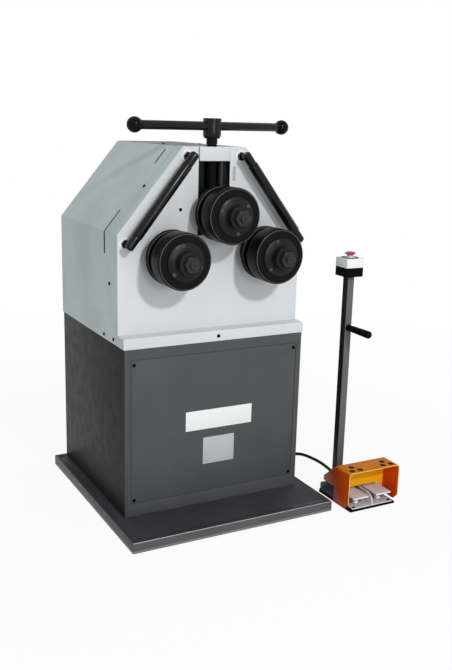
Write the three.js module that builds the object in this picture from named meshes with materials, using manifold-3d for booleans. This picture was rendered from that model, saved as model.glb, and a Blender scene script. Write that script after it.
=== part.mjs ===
// Profile bending machine: three roll shafts above a sheet-metal cabinet, a screw with a cross handle
// that sets the upper roll, and a double foot switch with a stop button on a post.
// Millimetres, +Z up, +Y to the back. The origin is on the floor at the centre of the base tray.
import * as THREE from 'three';
import { mergeVertices } from 'three/addons/utils/BufferGeometryUtils.js';
import Module from 'manifold-3d';

const wasm = await Module();
wasm.setup();

// Fits and cuts shared by all pieces
const weld_distance = 0.0001; // corners nearer than this are one
const seat_gap = 0.3; // between a piece and what it rests on or is cut round
const running_gap = 0.4; // radial, between a turning or sliding piece and what carries it
const cut_overrun = 4; // how far a cutting shape passes the face that it opens

// Steps round a turned piece, by its size
const large_steps = 48;
const middle_steps = 28;
const small_steps = 20;
const corner_steps = 5; // in a rounded corner of an outline

// Base tray
const base_width = 735;
const base_depth = 797;
const base_height = 35;
const base_sheet = 5;
const base_front_step = 175; // tray in front of the cabinet
const base_rib = 10;
const base_pad = 90;
const anchor_radius = 7;
const anchor_side_inset = 20;
const anchor_end_inset = 25;

// Cabinet shell and its two screwed panels
const cabinet_width = 650;
const cabinet_depth = 608;
const cabinet_sheet = 3;
const cabinet_lip = 24; // lip behind the edge of a panel
const cabinet_flange = 75; // foot and top flange, inward from the walls
const panel_inset = 22; // from the cabinet's side to the panel's edge
const panel_height = 482;
const panel_foot = 45; // from the cabinet's foot to the panel's lower edge
const panel_head = 35.7; // from the panel's upper edge to the cabinet's top
const panel_sheet = 3;
const panel_seam = 1.4;
const louvre_width = 150;
const louvre_height = 7;
const louvre_pitch = 24;
const louvre_count = 7;
const louvre_spread = 260; // between the middles of the two columns

// Housing: front mask with its ledge, cover and rear cover share one outline
const housing_overhang = 3; // past each side of the cabinet
const housing_side = 352; // height of the upright sides
const housing_height = 618;
const roof_width = 221.5;
const ledge_depth = 51;
const ledge_height = 35;
const mask_sheet = 3;
const mask_return = 58;
const cover_sheet = 2;
const slit_width = 13;
const slit_setback = 55.7; // behind the front edge of the cover
const slit_heights = [281, 417, 561, 606]; // lower and upper ends, above the housing's foot
const rear_cover_sheet = 3;

// Slot, frame plates and bridge
const slot_width = 108;
const slot_clearance = 14.5; // below the carriage at the end of its way down
const slot_rim = 2; // how far the mask stays back from the slot
const slot_lip = 24; // how far the mask covers the foot of the slot
const frame_thickness = 35;
const rear_frame_setback = 280; // behind the front face of the mask
const rear_frame_thickness = 25;
const rear_frame_height = 550;
const rear_frame_inset = 15;
const web_thickness = 12;
const web_height = 320;
const bridge_height = 44;
const bridge_depth = 52;
const bridge_proud = 4; // in front of the mask
const guide_strip_width = 22;
const guide_strip_setback = 4;

// Rolls and their shafts
const lower_roll_share = 0.2554; // of the cabinet's width, from the middle plane to the axis
const lower_roll_height = 282; // axis above the housing's foot
const upper_roll_height = 414.5;
const roll_radius = 88.4;
const roll_chamfer = 4;
const roll_back_chamfer = 1.5;
const ring_width = 59.2;
const flange_radius = 87.5;
const flange_width = 12;
const flange_standoff = 42.5; // in front of the mask
const groove_width = 33;
const groove_radius = 60;
const clamp_radius = 60.7;
const clamp_width = 10;
const collar_radius = 36.8;
const collar_width = 30;
const nut_flats = 46;
const nut_width = 14;
const tip_radius = 13;
const tip_length = 11;
const thread_radius = 15;
const seat_radius = 25;
const shoulder_radius = 33;
const shoulder_width = 12;
const shaft_radius = 30;
const shaft_tail = 14; // behind the rear frame
const cap_radius = 64;
const cap_proud = 10; // in front of the mask

// Drive inside the housing
const gear_module = 6;
const gear_clearance = 8.9; // least, from the teeth to the webs of the frame
const pinion_teeth = 22;
const gear_width = 40;
const gear_setback = 140; // behind the front face of the mask
const gear_backlash = 0.8;
const addendum_share = 1; // of the module
const dedendum_share = 1.25; // of the module
const pressure_angle = Math.PI / 9;
const pinion_shaft_radius = 20;
const pinion_shaft_tail = 30; // into the gearbox
const gearbox_width = 150;
const gearbox_depth = 164;
const gearbox_height = 180;
const gearbox_rise = 84; // of its top over the pinion's axis
const motor_radius = 70;
const motor_flange_radius = 80;
const motor_flange_width = 12;
const motor_length = 280;
const motor_cowl_radius = 74;
const motor_cowl_length = 70;
const control_box_width = 120;
const control_box_depth = 200;
const control_box_height = 270;
const control_box_foot = 215; // above the cabinet's foot
const control_box_setback = 200; // behind the cabinet's front

// Carriage of the upper roll, lead screw and cross handle
const carriage_rise = 72.5; // of its top over the upper roll's axis
const carriage_drop = 62;
const carriage_front_setback = 5; // behind the front face of the mask
const carriage_plate_width = 150;
const carriage_plate_thickness = 15;
const sleeve_radius = 45;
const screw_radius = 17.5;
const screw_collar_radius = 22;
const screw_collar_width = 10;
const screw_collar_depth = 25; // from the carriage's top to the foot of the collar
const screw_neck = 24; // screw that shows between bridge and hub
const screw_pin_radius = 11;
const screw_pin_length = 22;
const travel_up = 60; // room above the carriage in the rear frame
const travel_down = 22;
const hub_radius = 29;
const hub_foot_radius = 21;
const hub_taper = 18;
const hub_chamfer = 2;
const hub_height = 63;
const handle_drop = 24; // of the bar's axis below the hub's top
const handle_turn = 8.1 * Math.PI / 180;
const bar_radius = 13.8;
const knob_radius = 24;
const knob_reach = 280; // from the screw's axis to the middle of a knob
const knob_bore = 16;

// Guide bars in front of the slopes
const bar_top_inset = 15.8; // of the upper stand-off from the roof's edge
const bar_top_drop = 29.5;
const bar_foot_inset = 26.5; // of the lower stand-off from the housing's side
const bar_foot_drop = 28.5;
const bar_end_reach = 14; // rod beyond its stand-offs
const bar_cap_length = 46;
const rod_end_radius = 14.5;
const rod_core_radius = 10;
const roller_radius = 16.6;
const bar_standoff = 42; // of its axis in front of the mask
const standoff_radius = 7;
const standoff_foot_radius = 13.5;
const standoff_foot_width = 9;

// Foot switch; its depths are measured from its front edge
const pedal_unit_side = 185; // of its middle, from the cabinet's side
const pedal_unit_front = 218; // in front of the cabinet
const pedal_base_width = 190;
const pedal_base_depth = 213;
const pedal_base_height = 8;
const pedal_base_chamfer = 20;
const tread_width = 169;
const tread_depth = 92;
const tread_height = 3;
const tread_inset = 3;
const fin_width = 5;
const fin_height = 38;
const fin_depth = 88;
const body_front = 106;
const body_width = 184;
const body_height = 42.5; // at the back
const body_depth = 74;
const body_taper = 14;
const shelf_height = 20;
const shelf_depth = 30;
const hood_width = 214;
const hood_height = 135;
const hood_foot = 9; // above the floor
const hood_roof_depth = 79;
const hood_side_depth = 88;
const hood_depth = 182;
const hood_back_width = 170;
const hood_back_height = 16;
const hood_edge_rise = 15; // of the sides' lower edge, from the back to the break
const hood_wall = 3;
const hood_cheek_gap = 2; // between a pedal and the cheek beside it
const hood_corner = 12;
const hood_chamfer = 22;
const pedal_width = 63;
const pedal_length = 100;
const pedal_pitch = 96;
const pedal_front = 5;
const pedal_top = 46; // above the floor
const pedal_sheet = 4;
const pedal_flange = 9;
const pedal_barrel_radius = 7;
const pedal_barrel_length = 46;
const pedal_barrel_front = 118;
const pedal_arm_width = 40;
const pedal_pocket_depth = 22;
const nose_radius = 10;
const nose_length = 18;
const nose_x = 46; // right of the unit's middle
const nose_height = 19;

// Post, grip and stop button
const post_width = 28;
const post_wall = 2.5;
const post_x = -16.5; // from the middle of the foot switch
const post_setback = 196.5; // of its middle behind the foot switch's front edge
const post_top = 788.3;
const grip_height = 607;
const grip_length = 125;
const grip_root_radius = 9.5;
const grip_end_radius = 13;
const grip_stud_radius = 5;
const stop_box_width = 69.5;
const stop_base_height = 31;
const stop_cover_height = 30.9;
const stop_wall = 3;
const stop_ring_radius = 30.5;
const stop_ring_height = 1.6;
const stop_stem_radius = 9;
const stop_stem_length = 24; // inside the cover
const stop_stem_rise = 8.5;
const stop_head_foot_radius = 10.5;
const stop_head_radius = 20;
const stop_head_height = 12.4;
const stop_head_crown_share = 0.6; // of the head's radius
const stop_head_rim_share = 0.4; // of the head's height

// Pedal cable: entry from the cabinet's gland, stored coil, run to the foot switch
const cable_radius = 6;
const cable_sides = 8;
const gland_radius = 13;
const gland_length = 18;
const gland_setback = 312; // behind the cabinet's front
const gland_height = 70;
const gland_nut_radius = 15;
const gland_nut_width = 7;
const coil_radius = 74;
const coil_pitch = 12.7; // between neighbouring turns and between the two layers
const coil_side = 150; // of its middle, from the cabinet's side
const coil_layer_turns = 1.25;
const coil_drop_turns = 0.5;
const coil_loop_steps = 24;
const coil_sides = 6;
const cable_rest = 6.2; // axis above the floor
// Route points: from the cabinet's side, behind its front and above the floor
const entry_route = [
  [18.6, 312, 70], [30, 312, 70], [41.2, 312, 70], [54.4, 312, 68.1], [65.9, 312, 63.1],
  [76.3, 312, 54.7], [83.6, 312, 44.5], [90.9, 312, 34.2], [101.3, 312, 25.8],
  [112.8, 312, 20.8], [126, 312, 18.9], [137.7, 312, 18.9],
];
const run_route = [
  [162.3, 312, 6.2], [175, 312, 6.2], [187, 311.7, 6.2], [199, 310, 6.2], [210, 305.6, 6.2],
  [220, 297, 6.2], [228, 283, 6.2], [234, 262, 6.2], [239, 235, 6.2], [242, 206, 6.2], [242, 178, 6.2],
  [239.4, 150, 6.2], [235.6, 121, 6.2], [232.6, 97, 6.2], [231.2, 82, 6.2], [231, 70, 6.2],
  [231, 58, 7.7], [231, 46, 12.6], [231, 34, 17.5], [231, 22, 19], [231, 10.3, 19],
];

// Planes and places worked out from the sizes
const cabinet_front = -base_depth / 2 + base_front_step;
const cabinet_back = cabinet_front + cabinet_depth;
const cabinet_side = cabinet_width / 2;
const cabinet_foot = base_height + seat_gap;
const cabinet_top = cabinet_foot + panel_foot + panel_height + panel_head;
const panel_width = cabinet_width - 2 * panel_inset;
const housing_half = cabinet_side + housing_overhang;
const housing_foot = cabinet_top + seat_gap;
const housing_top = cabinet_top + housing_height;
const slope_start = cabinet_top + housing_side;
const mask_front = cabinet_front + ledge_depth;
const frame_front = mask_front + mask_sheet + seat_gap;
const frame_back = frame_front + frame_thickness;
const rear_frame_front = mask_front + rear_frame_setback;
const rear_frame_back = rear_frame_front + rear_frame_thickness;
const lower_roll_x = lower_roll_share * cabinet_width;
const lower_roll_z = cabinet_top + lower_roll_height;
const upper_roll_z = cabinet_top + upper_roll_height;
const slot_foot_z = upper_roll_z - carriage_drop - travel_down - slot_clearance;
const bridge_foot_z = housing_top - bridge_height;
const screw_y = mask_front - bridge_proud + bridge_depth / 2;
const web_inside = housing_half - rear_frame_inset - web_thickness;
const gear_room = web_inside - gear_clearance - lower_roll_x;
const gear_teeth = Math.floor(2 * (gear_room / gear_module - addendum_share));
const pedal_unit_x = cabinet_side + pedal_unit_side;
const coil_x = cabinet_side + coil_side;
const foot_front = cabinet_front - pedal_unit_front;
const pedal_base_top = pedal_base_height + seat_gap;
const body_foot = pedal_base_top;
const body_top = body_foot + body_height;
const body_slope = hood_edge_rise / (hood_depth - hood_side_depth);
const body_crown = body_top + hood_edge_rise;

// Finishes
function finish(color, roughness, metalness) {
  return new THREE.MeshStandardMaterial({ color, roughness, metalness });
}
const cabinet_paint = finish('#4b4d50', 0.6, 0.1);
const mask_paint = finish('#d9dde2', 0.5, 0.05);
const cover_paint = finish('#a0acac', 0.5, 0.05);
const black_steel = finish('#232426', 0.45, 0.7);
const bright_steel = finish('#8d9092', 0.35, 0.9);
const dark_casting = finish('#3d4145', 0.7, 0.2);
const motor_paint = finish('#5b6f82', 0.55, 0.2);
const hood_plastic = finish('#e0701c', 0.45, 0);
const pedal_metal = finish('#b9b9c0', 0.5, 0.4);
const white_plastic = finish('#e8eaea', 0.45, 0);
const black_plastic = finish('#161718', 0.5, 0);
const red_plastic = finish('#b5182b', 0.4, 0);
const post_paint = finish('#77797b', 0.5, 0.3);
const cable_rubber = finish('#101112', 0.6, 0);

const group = new THREE.Group();

// Turns a closed geometry into a solid, with its faces pointing out
function solid(geometry) {
  const bare = geometry.clone();
  for (const name of Object.keys(bare.attributes)) if (name !== 'position') bare.deleteAttribute(name);
  const merged = mergeVertices(bare, weld_distance);
  const vertProperties = new Float32Array(merged.attributes.position.array);
  const triVerts = new Uint32Array(merged.index.array);
  const [a, b, c] = [new THREE.Vector3(), new THREE.Vector3(), new THREE.Vector3()];
  let volume = 0;
  for (let i = 0; i < triVerts.length; i += 3) {
    a.fromArray(vertProperties, triVerts[i] * 3);
    b.fromArray(vertProperties, triVerts[i + 1] * 3);
    c.fromArray(vertProperties, triVerts[i + 2] * 3);
    volume += a.dot(b.cross(c));
  }
  if (volume < 0) triVerts.reverse();
  return new wasm.Manifold(new wasm.Mesh({ numProp: 3, vertProperties, triVerts }));
}

// Adds a solid to a parent as a named mesh
function add(name, shape, material, parent = group) {
  const mesh = shape.getMesh();
  const geometry = new THREE.BufferGeometry();
  geometry.setAttribute('position', new THREE.BufferAttribute(new Float32Array(mesh.vertProperties), 3));
  geometry.setIndex(new THREE.BufferAttribute(new Uint32Array(mesh.triVerts), 1));
  geometry.computeVertexNormals();
  const piece = new THREE.Mesh(geometry, material);
  piece.name = name;
  parent.add(piece);
}

const join = (...shapes) => shapes.reduce((whole, shape) => whole.add(shape));
const cut = (whole, ...tools) => tools.reduce((rest, tool) => rest.subtract(tool), whole);

// A block between two corners
function block(x0, x1, y0, y1, z0, z1) {
  const geometry = new THREE.BoxGeometry(x1 - x0, y1 - y0, z1 - z0);
  return solid(geometry.translate((x0 + x1) / 2, (y0 + y1) / 2, (z0 + z1) / 2));
}

function outline(points) {
  return new THREE.Shape(points.map(([x, y]) => new THREE.Vector2(x, y)));
}

// Prisms of an outline along Y (drawn in x, z), along X (drawn in y, z) and along Z (drawn in x, y)
function extruded(shape, depth) {
  return new THREE.ExtrudeGeometry(shape, { depth, bevelEnabled: false, curveSegments: corner_steps });
}

function prism_y(shape, y0, y1) {
  return solid(extruded(shape, y1 - y0).rotateX(Math.PI / 2).translate(0, y1, 0));
}

function prism_x(shape, x0, x1) {
  const x_axis = new THREE.Vector3(1, 0, 0);
  const y_axis = new THREE.Vector3(0, 1, 0);
  const z_axis = new THREE.Vector3(0, 0, 1);
  const turn = new THREE.Matrix4().makeBasis(y_axis, z_axis, x_axis);
  return solid(extruded(shape, x1 - x0).applyMatrix4(turn).translate(x0, 0, 0));
}

function prism_z(shape, z0, z1) {
  return solid(extruded(shape, z1 - z0).translate(0, 0, z0));
}

// Turned pieces: a profile of [radius, distance along the axis], closed on the axis or on itself
function turned(profile, steps) {
  const ring = profile.map(([radius, along]) => new THREE.Vector2(radius, along));
  if (profile[0][0] > 0) ring.push(ring[0].clone());
  return new THREE.LatheGeometry(ring, steps);
}

function turned_y(profile, steps, x, z) {
  return solid(turned(profile, steps).translate(x, 0, z));
}

function turned_z(profile, steps, x, y) {
  return solid(turned(profile, steps).rotateX(Math.PI / 2).translate(x, y, 0));
}

function turned_x(profile, steps, y, z) {
  return solid(turned(profile, steps).rotateZ(-Math.PI / 2).translate(0, y, z));
}

const rod_profile = (radius, a0, a1) => [[0, a0], [radius, a0], [radius, a1], [0, a1]];
const tube_profile = (inner, outer, a0, a1) => [[inner, a0], [outer, a0], [outer, a1], [inner, a1]];

function rod_y(radius, y0, y1, x, z, steps = middle_steps) {
  return turned_y(rod_profile(radius, y0, y1), steps, x, z);
}

function rod_z(radius, z0, z1, x, y, steps = middle_steps) {
  return turned_z(rod_profile(radius, z0, z1), steps, x, y);
}

function rod_x(radius, x0, x1, y, z, steps = middle_steps) {
  return turned_x(rod_profile(radius, x0, x1), steps, y, z);
}

// The housing's front outline: upright sides, slopes and a flat roof, all moved in by one inset
function house(inset, foot, top = housing_top - inset) {
  const run = housing_half - roof_width / 2;
  const rise = housing_top - slope_start;
  const length = Math.hypot(run, rise);
  const edge = (housing_half * rise + slope_start * run) / length - inset;
  const half = housing_half - inset;
  const shoulder = (edge - half * rise / length) * length / run;
  const roof = (edge - top * run / length) * length / rise;
  const right = [[half, foot], [half, shoulder], [roof, top]];
  const left = [[-roof, top], [-half, shoulder], [-half, foot]];
  return outline([...right, ...left]);
}

function make_base_tray() {
  const half_width = base_width / 2;
  const half_depth = base_depth / 2;
  const pad_half = base_pad / 2;
  let tray = block(-half_width, half_width, -half_depth, half_depth, 0, base_height);
  for (const side of [-1, 1]) {
    for (const end of [-1, 1]) {
      const x = [side * base_rib / 2, side * (half_width - base_sheet)].sort((p, q) => p - q);
      const y = [end * base_rib / 2, end * (half_depth - base_sheet)].sort((p, q) => p - q);
      const pad = block(-pad_half, pad_half, -pad_half, pad_half, -cut_overrun, base_height);
      const pocket = block(...x, ...y, -cut_overrun, base_height - base_sheet);
      const hole = rod_z(anchor_radius, 0, base_height + cut_overrun,
        side * (half_width - anchor_side_inset), end * (half_depth - anchor_end_inset), small_steps);
      tray = cut(tray, cut(pocket, pad), hole);
    }
  }
  add('base_tray', tray, cabinet_paint);
}

// Foot and top edges of a cabinet panel
const panel_z = [cabinet_foot + panel_foot, cabinet_foot + panel_foot + panel_height];

function make_cabinet() {
  const half = cabinet_side;
  const wall = cabinet_sheet;
  const deep = panel_sheet + seat_gap + cabinet_sheet; // front and rear walls with their lips
  const recess = (y0, y1) => block(-panel_width / 2 - panel_seam, panel_width / 2 + panel_seam, y0, y1,
    panel_z[0] - panel_seam, panel_z[1] + panel_seam);
  const opening_half = panel_width / 2 - cabinet_lip;
  const opening = block(-opening_half, opening_half,
    cabinet_front - cut_overrun, cabinet_back + cut_overrun,
    panel_z[0] + cabinet_lip, panel_z[1] - cabinet_lip);
  const hollow = block(-half + wall, half - wall, cabinet_front + deep, cabinet_back - deep,
    cabinet_foot + wall, cabinet_top - wall);
  const shaft = block(-half + cabinet_flange, half - cabinet_flange, cabinet_front + cabinet_flange,
    cabinet_back - cabinet_flange, cabinet_foot - cut_overrun, cabinet_top + cut_overrun);
  const whole = block(-half, half, cabinet_front, cabinet_back, cabinet_foot, cabinet_top);
  const shell = cut(whole, hollow, shaft, opening,
    recess(cabinet_front - cut_overrun, cabinet_front + panel_sheet + seat_gap),
    recess(cabinet_back - panel_sheet - seat_gap, cabinet_back + cut_overrun));
  add('cabinet_shell', shell, cabinet_paint);

  const plate = (y0) => block(-panel_width / 2, panel_width / 2, y0, y0 + panel_sheet, ...panel_z);
  add('front_panel', plate(cabinet_front), cabinet_paint);
  let rear = plate(cabinet_back - panel_sheet);
  for (const side of [-1, 1]) {
    for (let i = 0; i < louvre_count; i += 1) {
      const x = side * louvre_spread / 2;
      const z = (panel_z[0] + panel_z[1]) / 2 + (i - (louvre_count - 1) / 2) * louvre_pitch;
      rear = cut(rear, block(x - louvre_width / 2, x + louvre_width / 2,
        cabinet_back - panel_sheet - cut_overrun, cabinet_back + cut_overrun,
        z - louvre_height / 2, z + louvre_height / 2));
    }
  }
  add('rear_panel', rear, cabinet_paint);
}

function make_mask() {
  const back = mask_front + mask_return;
  const sheet = mask_sheet;
  const tray = cut(prism_y(house(0, housing_foot), mask_front, back),
    prism_y(house(sheet, housing_foot - cut_overrun), mask_front + sheet, back + cut_overrun));
  const ledge_top = housing_foot + ledge_height;
  const ledge = cut(
    block(-housing_half, housing_half, cabinet_front, mask_front + sheet, housing_foot, ledge_top),
    block(-housing_half + sheet, housing_half - sheet, cabinet_front + sheet, mask_front,
      housing_foot - cut_overrun, ledge_top - sheet));
  const slot_half = slot_width / 2 + slot_rim;
  const slot = block(-slot_half, slot_half,
    mask_front - cut_overrun, mask_front - bridge_proud + bridge_depth,
    slot_foot_z + slot_lip, housing_top + cut_overrun);
  const cap_hole = (x) => rod_y(cap_radius + panel_seam, mask_front - cut_overrun,
    mask_front + sheet + cut_overrun, x, lower_roll_z, large_steps);
  const mask = cut(join(tray, ledge), slot, cap_hole(-lower_roll_x), cap_hole(lower_roll_x));
  add('front_mask', mask, mask_paint);
}

function make_covers() {
  const front = mask_front + mask_return + seat_gap;
  const inside = house(cover_sheet, housing_foot - cut_overrun);
  let cover = cut(prism_y(house(0, housing_foot), front, cabinet_back),
    prism_y(inside, front - cut_overrun, cabinet_back + cut_overrun));
  for (let i = 0; i < slit_heights.length; i += 2) {
    const y = front + slit_setback;
    cover = cut(cover, block(-housing_half - cut_overrun, housing_half + cut_overrun,
      y - slit_width / 2, y + slit_width / 2,
      cabinet_top + slit_heights[i], cabinet_top + slit_heights[i + 1]));
  }
  add('housing_cover', cover, cover_paint);
  const rear = house(cover_sheet + seat_gap, housing_foot);
  add('rear_cover', prism_y(rear, cabinet_back - rear_cover_sheet, cabinet_back), cover_paint);
}

function make_frame() {
  const slot_half = slot_width / 2;
  const bore_radius = shaft_radius + running_gap;
  const bore = (x, y0, y1) => rod_y(bore_radius, y0 - cut_overrun, y1 + cut_overrun, x, lower_roll_z);
  const slot = block(-slot_half, slot_half, frame_front - cut_overrun, frame_back + cut_overrun,
    slot_foot_z, housing_top + cut_overrun);
  const plate = prism_y(house(mask_sheet + seat_gap, housing_foot), frame_front, frame_back);
  add('front_frame_plate', cut(plate, slot, bore(-lower_roll_x, frame_front, frame_back),
    bore(lower_roll_x, frame_front, frame_back)), mask_paint);

  const web_y = [frame_back + seat_gap, rear_frame_front + cut_overrun];
  const web = (x0, x1) => block(x0, x1, ...web_y, housing_foot, housing_foot + web_height);
  const sleeve_half = sleeve_radius + running_gap;
  const sleeve_slot = block(-sleeve_half, sleeve_half,
    rear_frame_front - cut_overrun, rear_frame_back + cut_overrun,
    upper_roll_z - travel_down - sleeve_half - running_gap,
    upper_roll_z + travel_up + sleeve_half + running_gap);
  const pinion_bore = rod_y(pinion_shaft_radius + running_gap, rear_frame_front - cut_overrun,
    rear_frame_back + cut_overrun, 0, pinion_z);
  const rear_shape = house(rear_frame_inset, housing_foot, housing_foot + rear_frame_height);
  const rear = join(prism_y(rear_shape, rear_frame_front, rear_frame_back),
    web(-web_inside - web_thickness, -web_inside), web(web_inside, web_inside + web_thickness));
  add('rear_frame', cut(rear, sleeve_slot, pinion_bore,
    bore(-lower_roll_x, rear_frame_front, rear_frame_back),
    bore(lower_roll_x, rear_frame_front, rear_frame_back)), dark_casting);

  const bridge_front = mask_front - bridge_proud;
  const bridge = block(-slot_half + seat_gap, slot_half - seat_gap,
    bridge_front, bridge_front + bridge_depth, bridge_foot_z, housing_top);
  const screw_bore = rod_z(screw_radius + running_gap, bridge_foot_z - cut_overrun,
    housing_top + cut_overrun, 0, screw_y);
  add('bridge_block', cut(bridge, screw_bore), mask_paint);

  for (const [name, side] of [['left', -1], ['right', 1]]) {
    const x = [side * (slot_half - seat_gap), side * (slot_half - guide_strip_width)].sort((p, q) => p - q);
    add(`${name}_guide_strip`, block(...x, frame_front + guide_strip_setback, frame_back,
      slot_foot_z + seat_gap, bridge_foot_z - seat_gap), black_steel);
  }
}

// Faces of a roll along its shaft, counted forward from the mask
const flange_face = flange_standoff + flange_width;
const groove_face = flange_face + groove_width;
const ring_face = groove_face + seat_gap + ring_width;
const clamp_face = ring_face + seat_gap + clamp_width;
const collar_face = clamp_face + collar_width;
const nut_face = collar_face + seat_gap + nut_width;
const tip_face = nut_face + tip_length;

function make_roll(name, x, z, tail) {
  const ahead = (distance) => mask_front - distance;
  const bevel = roll_chamfer;
  const back_bevel = roll_back_chamfer;
  const ring_back = groove_face + seat_gap;
  const bore = seat_radius + seat_gap;
  add(`${name}_shaft`, turned_y([
    [0, tail], [shaft_radius, tail], [shaft_radius, ahead(flange_standoff - seat_gap - shoulder_width)],
    [shoulder_radius, ahead(flange_standoff - seat_gap - shoulder_width)],
    [shoulder_radius, ahead(flange_standoff - seat_gap)], [seat_radius, ahead(flange_standoff - seat_gap)],
    [seat_radius, ahead(ring_face - seat_gap)], [thread_radius, ahead(ring_face - seat_gap)],
    [thread_radius, ahead(nut_face)], [tip_radius, ahead(nut_face)], [tip_radius, ahead(tip_face)],
    [0, ahead(tip_face)],
  ], middle_steps, x, z), black_steel);
  add(`${name}_roll_flange`, turned_y([
    [bore, ahead(flange_standoff)], [flange_radius - back_bevel, ahead(flange_standoff)],
    [flange_radius, ahead(flange_standoff + back_bevel)], [flange_radius, ahead(flange_face - bevel)],
    [flange_radius - bevel, ahead(flange_face)], [groove_radius, ahead(flange_face)],
    [groove_radius, ahead(groove_face)], [bore, ahead(groove_face)],
  ], large_steps, x, z), black_steel);
  add(`${name}_roll_ring`, turned_y([
    [bore, ahead(ring_back)], [roll_radius - back_bevel, ahead(ring_back)],
    [roll_radius, ahead(ring_back + back_bevel)], [roll_radius, ahead(ring_face - bevel)],
    [roll_radius - bevel, ahead(ring_face)], [bore, ahead(ring_face)],
  ], large_steps, x, z), black_steel);
  add(`${name}_clamp_hub`, turned_y([
    [thread_radius + seat_gap, ahead(ring_face + seat_gap)], [clamp_radius, ahead(ring_face + seat_gap)],
    [clamp_radius, ahead(clamp_face)], [collar_radius, ahead(clamp_face)],
    [collar_radius, ahead(collar_face)],
    [thread_radius + seat_gap, ahead(collar_face)],
  ], middle_steps, x, z), black_steel);
  const nut_radius = nut_flats / 2 / Math.cos(Math.PI / 6);
  add(`${name}_shaft_nut`, cut(
    rod_y(nut_radius, ahead(nut_face), ahead(collar_face + seat_gap), x, z, 6),
    rod_y(thread_radius + seat_gap, ahead(nut_face + cut_overrun), ahead(collar_face - cut_overrun), x, z)),
  black_steel);
}

function make_bearing_cap(name, x) {
  add(`${name}_bearing_cap`, turned_y(tube_profile(shaft_radius + running_gap, cap_radius,
    mask_front - cap_proud, mask_front + mask_sheet), large_steps, x, lower_roll_z), black_steel);
}

// Gears: the pinion stands on the machine's middle plane and meshes with both gears
const gear_radius = gear_module * gear_teeth / 2;
const pinion_radius = gear_module * pinion_teeth / 2;
const pinion_z = lower_roll_z - Math.sqrt((gear_radius + pinion_radius) ** 2 - lower_roll_x ** 2);
const mesh_angle = Math.atan2(lower_roll_z - pinion_z, lower_roll_x);

function gear_outline(teeth, x, z, phase) {
  const pitch = gear_module * teeth / 2;
  const base = pitch * Math.cos(pressure_angle);
  const involute = (radius) => {
    const angle = Math.acos(Math.min(1, base / radius));
    return Math.tan(angle) - angle;
  };
  const half_pitch = Math.PI / 2 / teeth - gear_backlash / 2 / pitch;
  const half_angle = (radius) => half_pitch + involute(pitch) - involute(Math.max(radius, base));
  const root = pitch - dedendum_share * gear_module;
  const outer = pitch + addendum_share * gear_module;
  const points = [];
  for (let i = 0; i < teeth; i += 1) {
    const middle = phase + i * 2 * Math.PI / teeth;
    const corners = [[root, -1], [pitch, -1], [outer, -1], [outer, 1], [pitch, 1], [root, 1]];
    for (const [radius, side] of corners) {
      const angle = middle + side * half_angle(radius);
      points.push([x + radius * Math.cos(angle), z + radius * Math.sin(angle)]);
    }
  }
  return outline(points);
}

function make_drive() {
  const gear_y = [mask_front + gear_setback, mask_front + gear_setback + gear_width];
  const tooth_pitch = Math.PI * gear_module;
  for (const [name, side] of [['left', -1], ['right', 1]]) {
    const direction = side > 0 ? mesh_angle : Math.PI - mesh_angle;
    const offset = (mesh_angle - direction) * pinion_radius;
    const phase = direction + Math.PI - (offset + tooth_pitch / 2) / gear_radius;
    const x = side * lower_roll_x;
    add(`${name}_drive_gear`, cut(prism_y(gear_outline(gear_teeth, x, lower_roll_z, phase), ...gear_y),
      rod_y(shaft_radius + seat_gap, gear_y[0] - cut_overrun, gear_y[1] + cut_overrun, x, lower_roll_z)),
    bright_steel);
  }
  const gearbox_front = rear_frame_back + seat_gap;
  add('pinion_shaft', join(prism_y(gear_outline(pinion_teeth, 0, pinion_z, mesh_angle), ...gear_y),
    rod_y(pinion_shaft_radius, gear_y[0] - cut_overrun, gearbox_front + pinion_shaft_tail, 0, pinion_z)),
  bright_steel);
  const gearbox_top = pinion_z + gearbox_rise;
  const gearbox_back = gearbox_front + gearbox_depth;
  const gearbox_foot = gearbox_top - gearbox_height;
  add('gearbox', cut(
    block(-gearbox_width / 2, gearbox_width / 2, gearbox_front, gearbox_back, gearbox_foot, gearbox_top),
    rod_y(pinion_shaft_radius + running_gap, gearbox_front - cut_overrun,
      gearbox_front + pinion_shaft_tail + running_gap, 0, pinion_z)), dark_casting);
  const motor_top = gearbox_foot - seat_gap;
  const motor_foot = motor_top - motor_length;
  add('drive_motor', turned_z([
    [0, motor_foot], [motor_cowl_radius, motor_foot], [motor_cowl_radius, motor_foot + motor_cowl_length],
    [motor_radius, motor_foot + motor_cowl_length], [motor_radius, motor_top - motor_flange_width],
    [motor_flange_radius, motor_top - motor_flange_width], [motor_flange_radius, motor_top], [0, motor_top],
  ], middle_steps, 0, (gearbox_front + gearbox_back) / 2), motor_paint);
  const box_side = cabinet_side - cabinet_sheet - seat_gap;
  add('control_box', block(box_side - control_box_width, box_side, cabinet_front + control_box_setback,
    cabinet_front + control_box_setback + control_box_depth, cabinet_foot + control_box_foot,
    cabinet_foot + control_box_foot + control_box_height), cover_paint);
}

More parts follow.
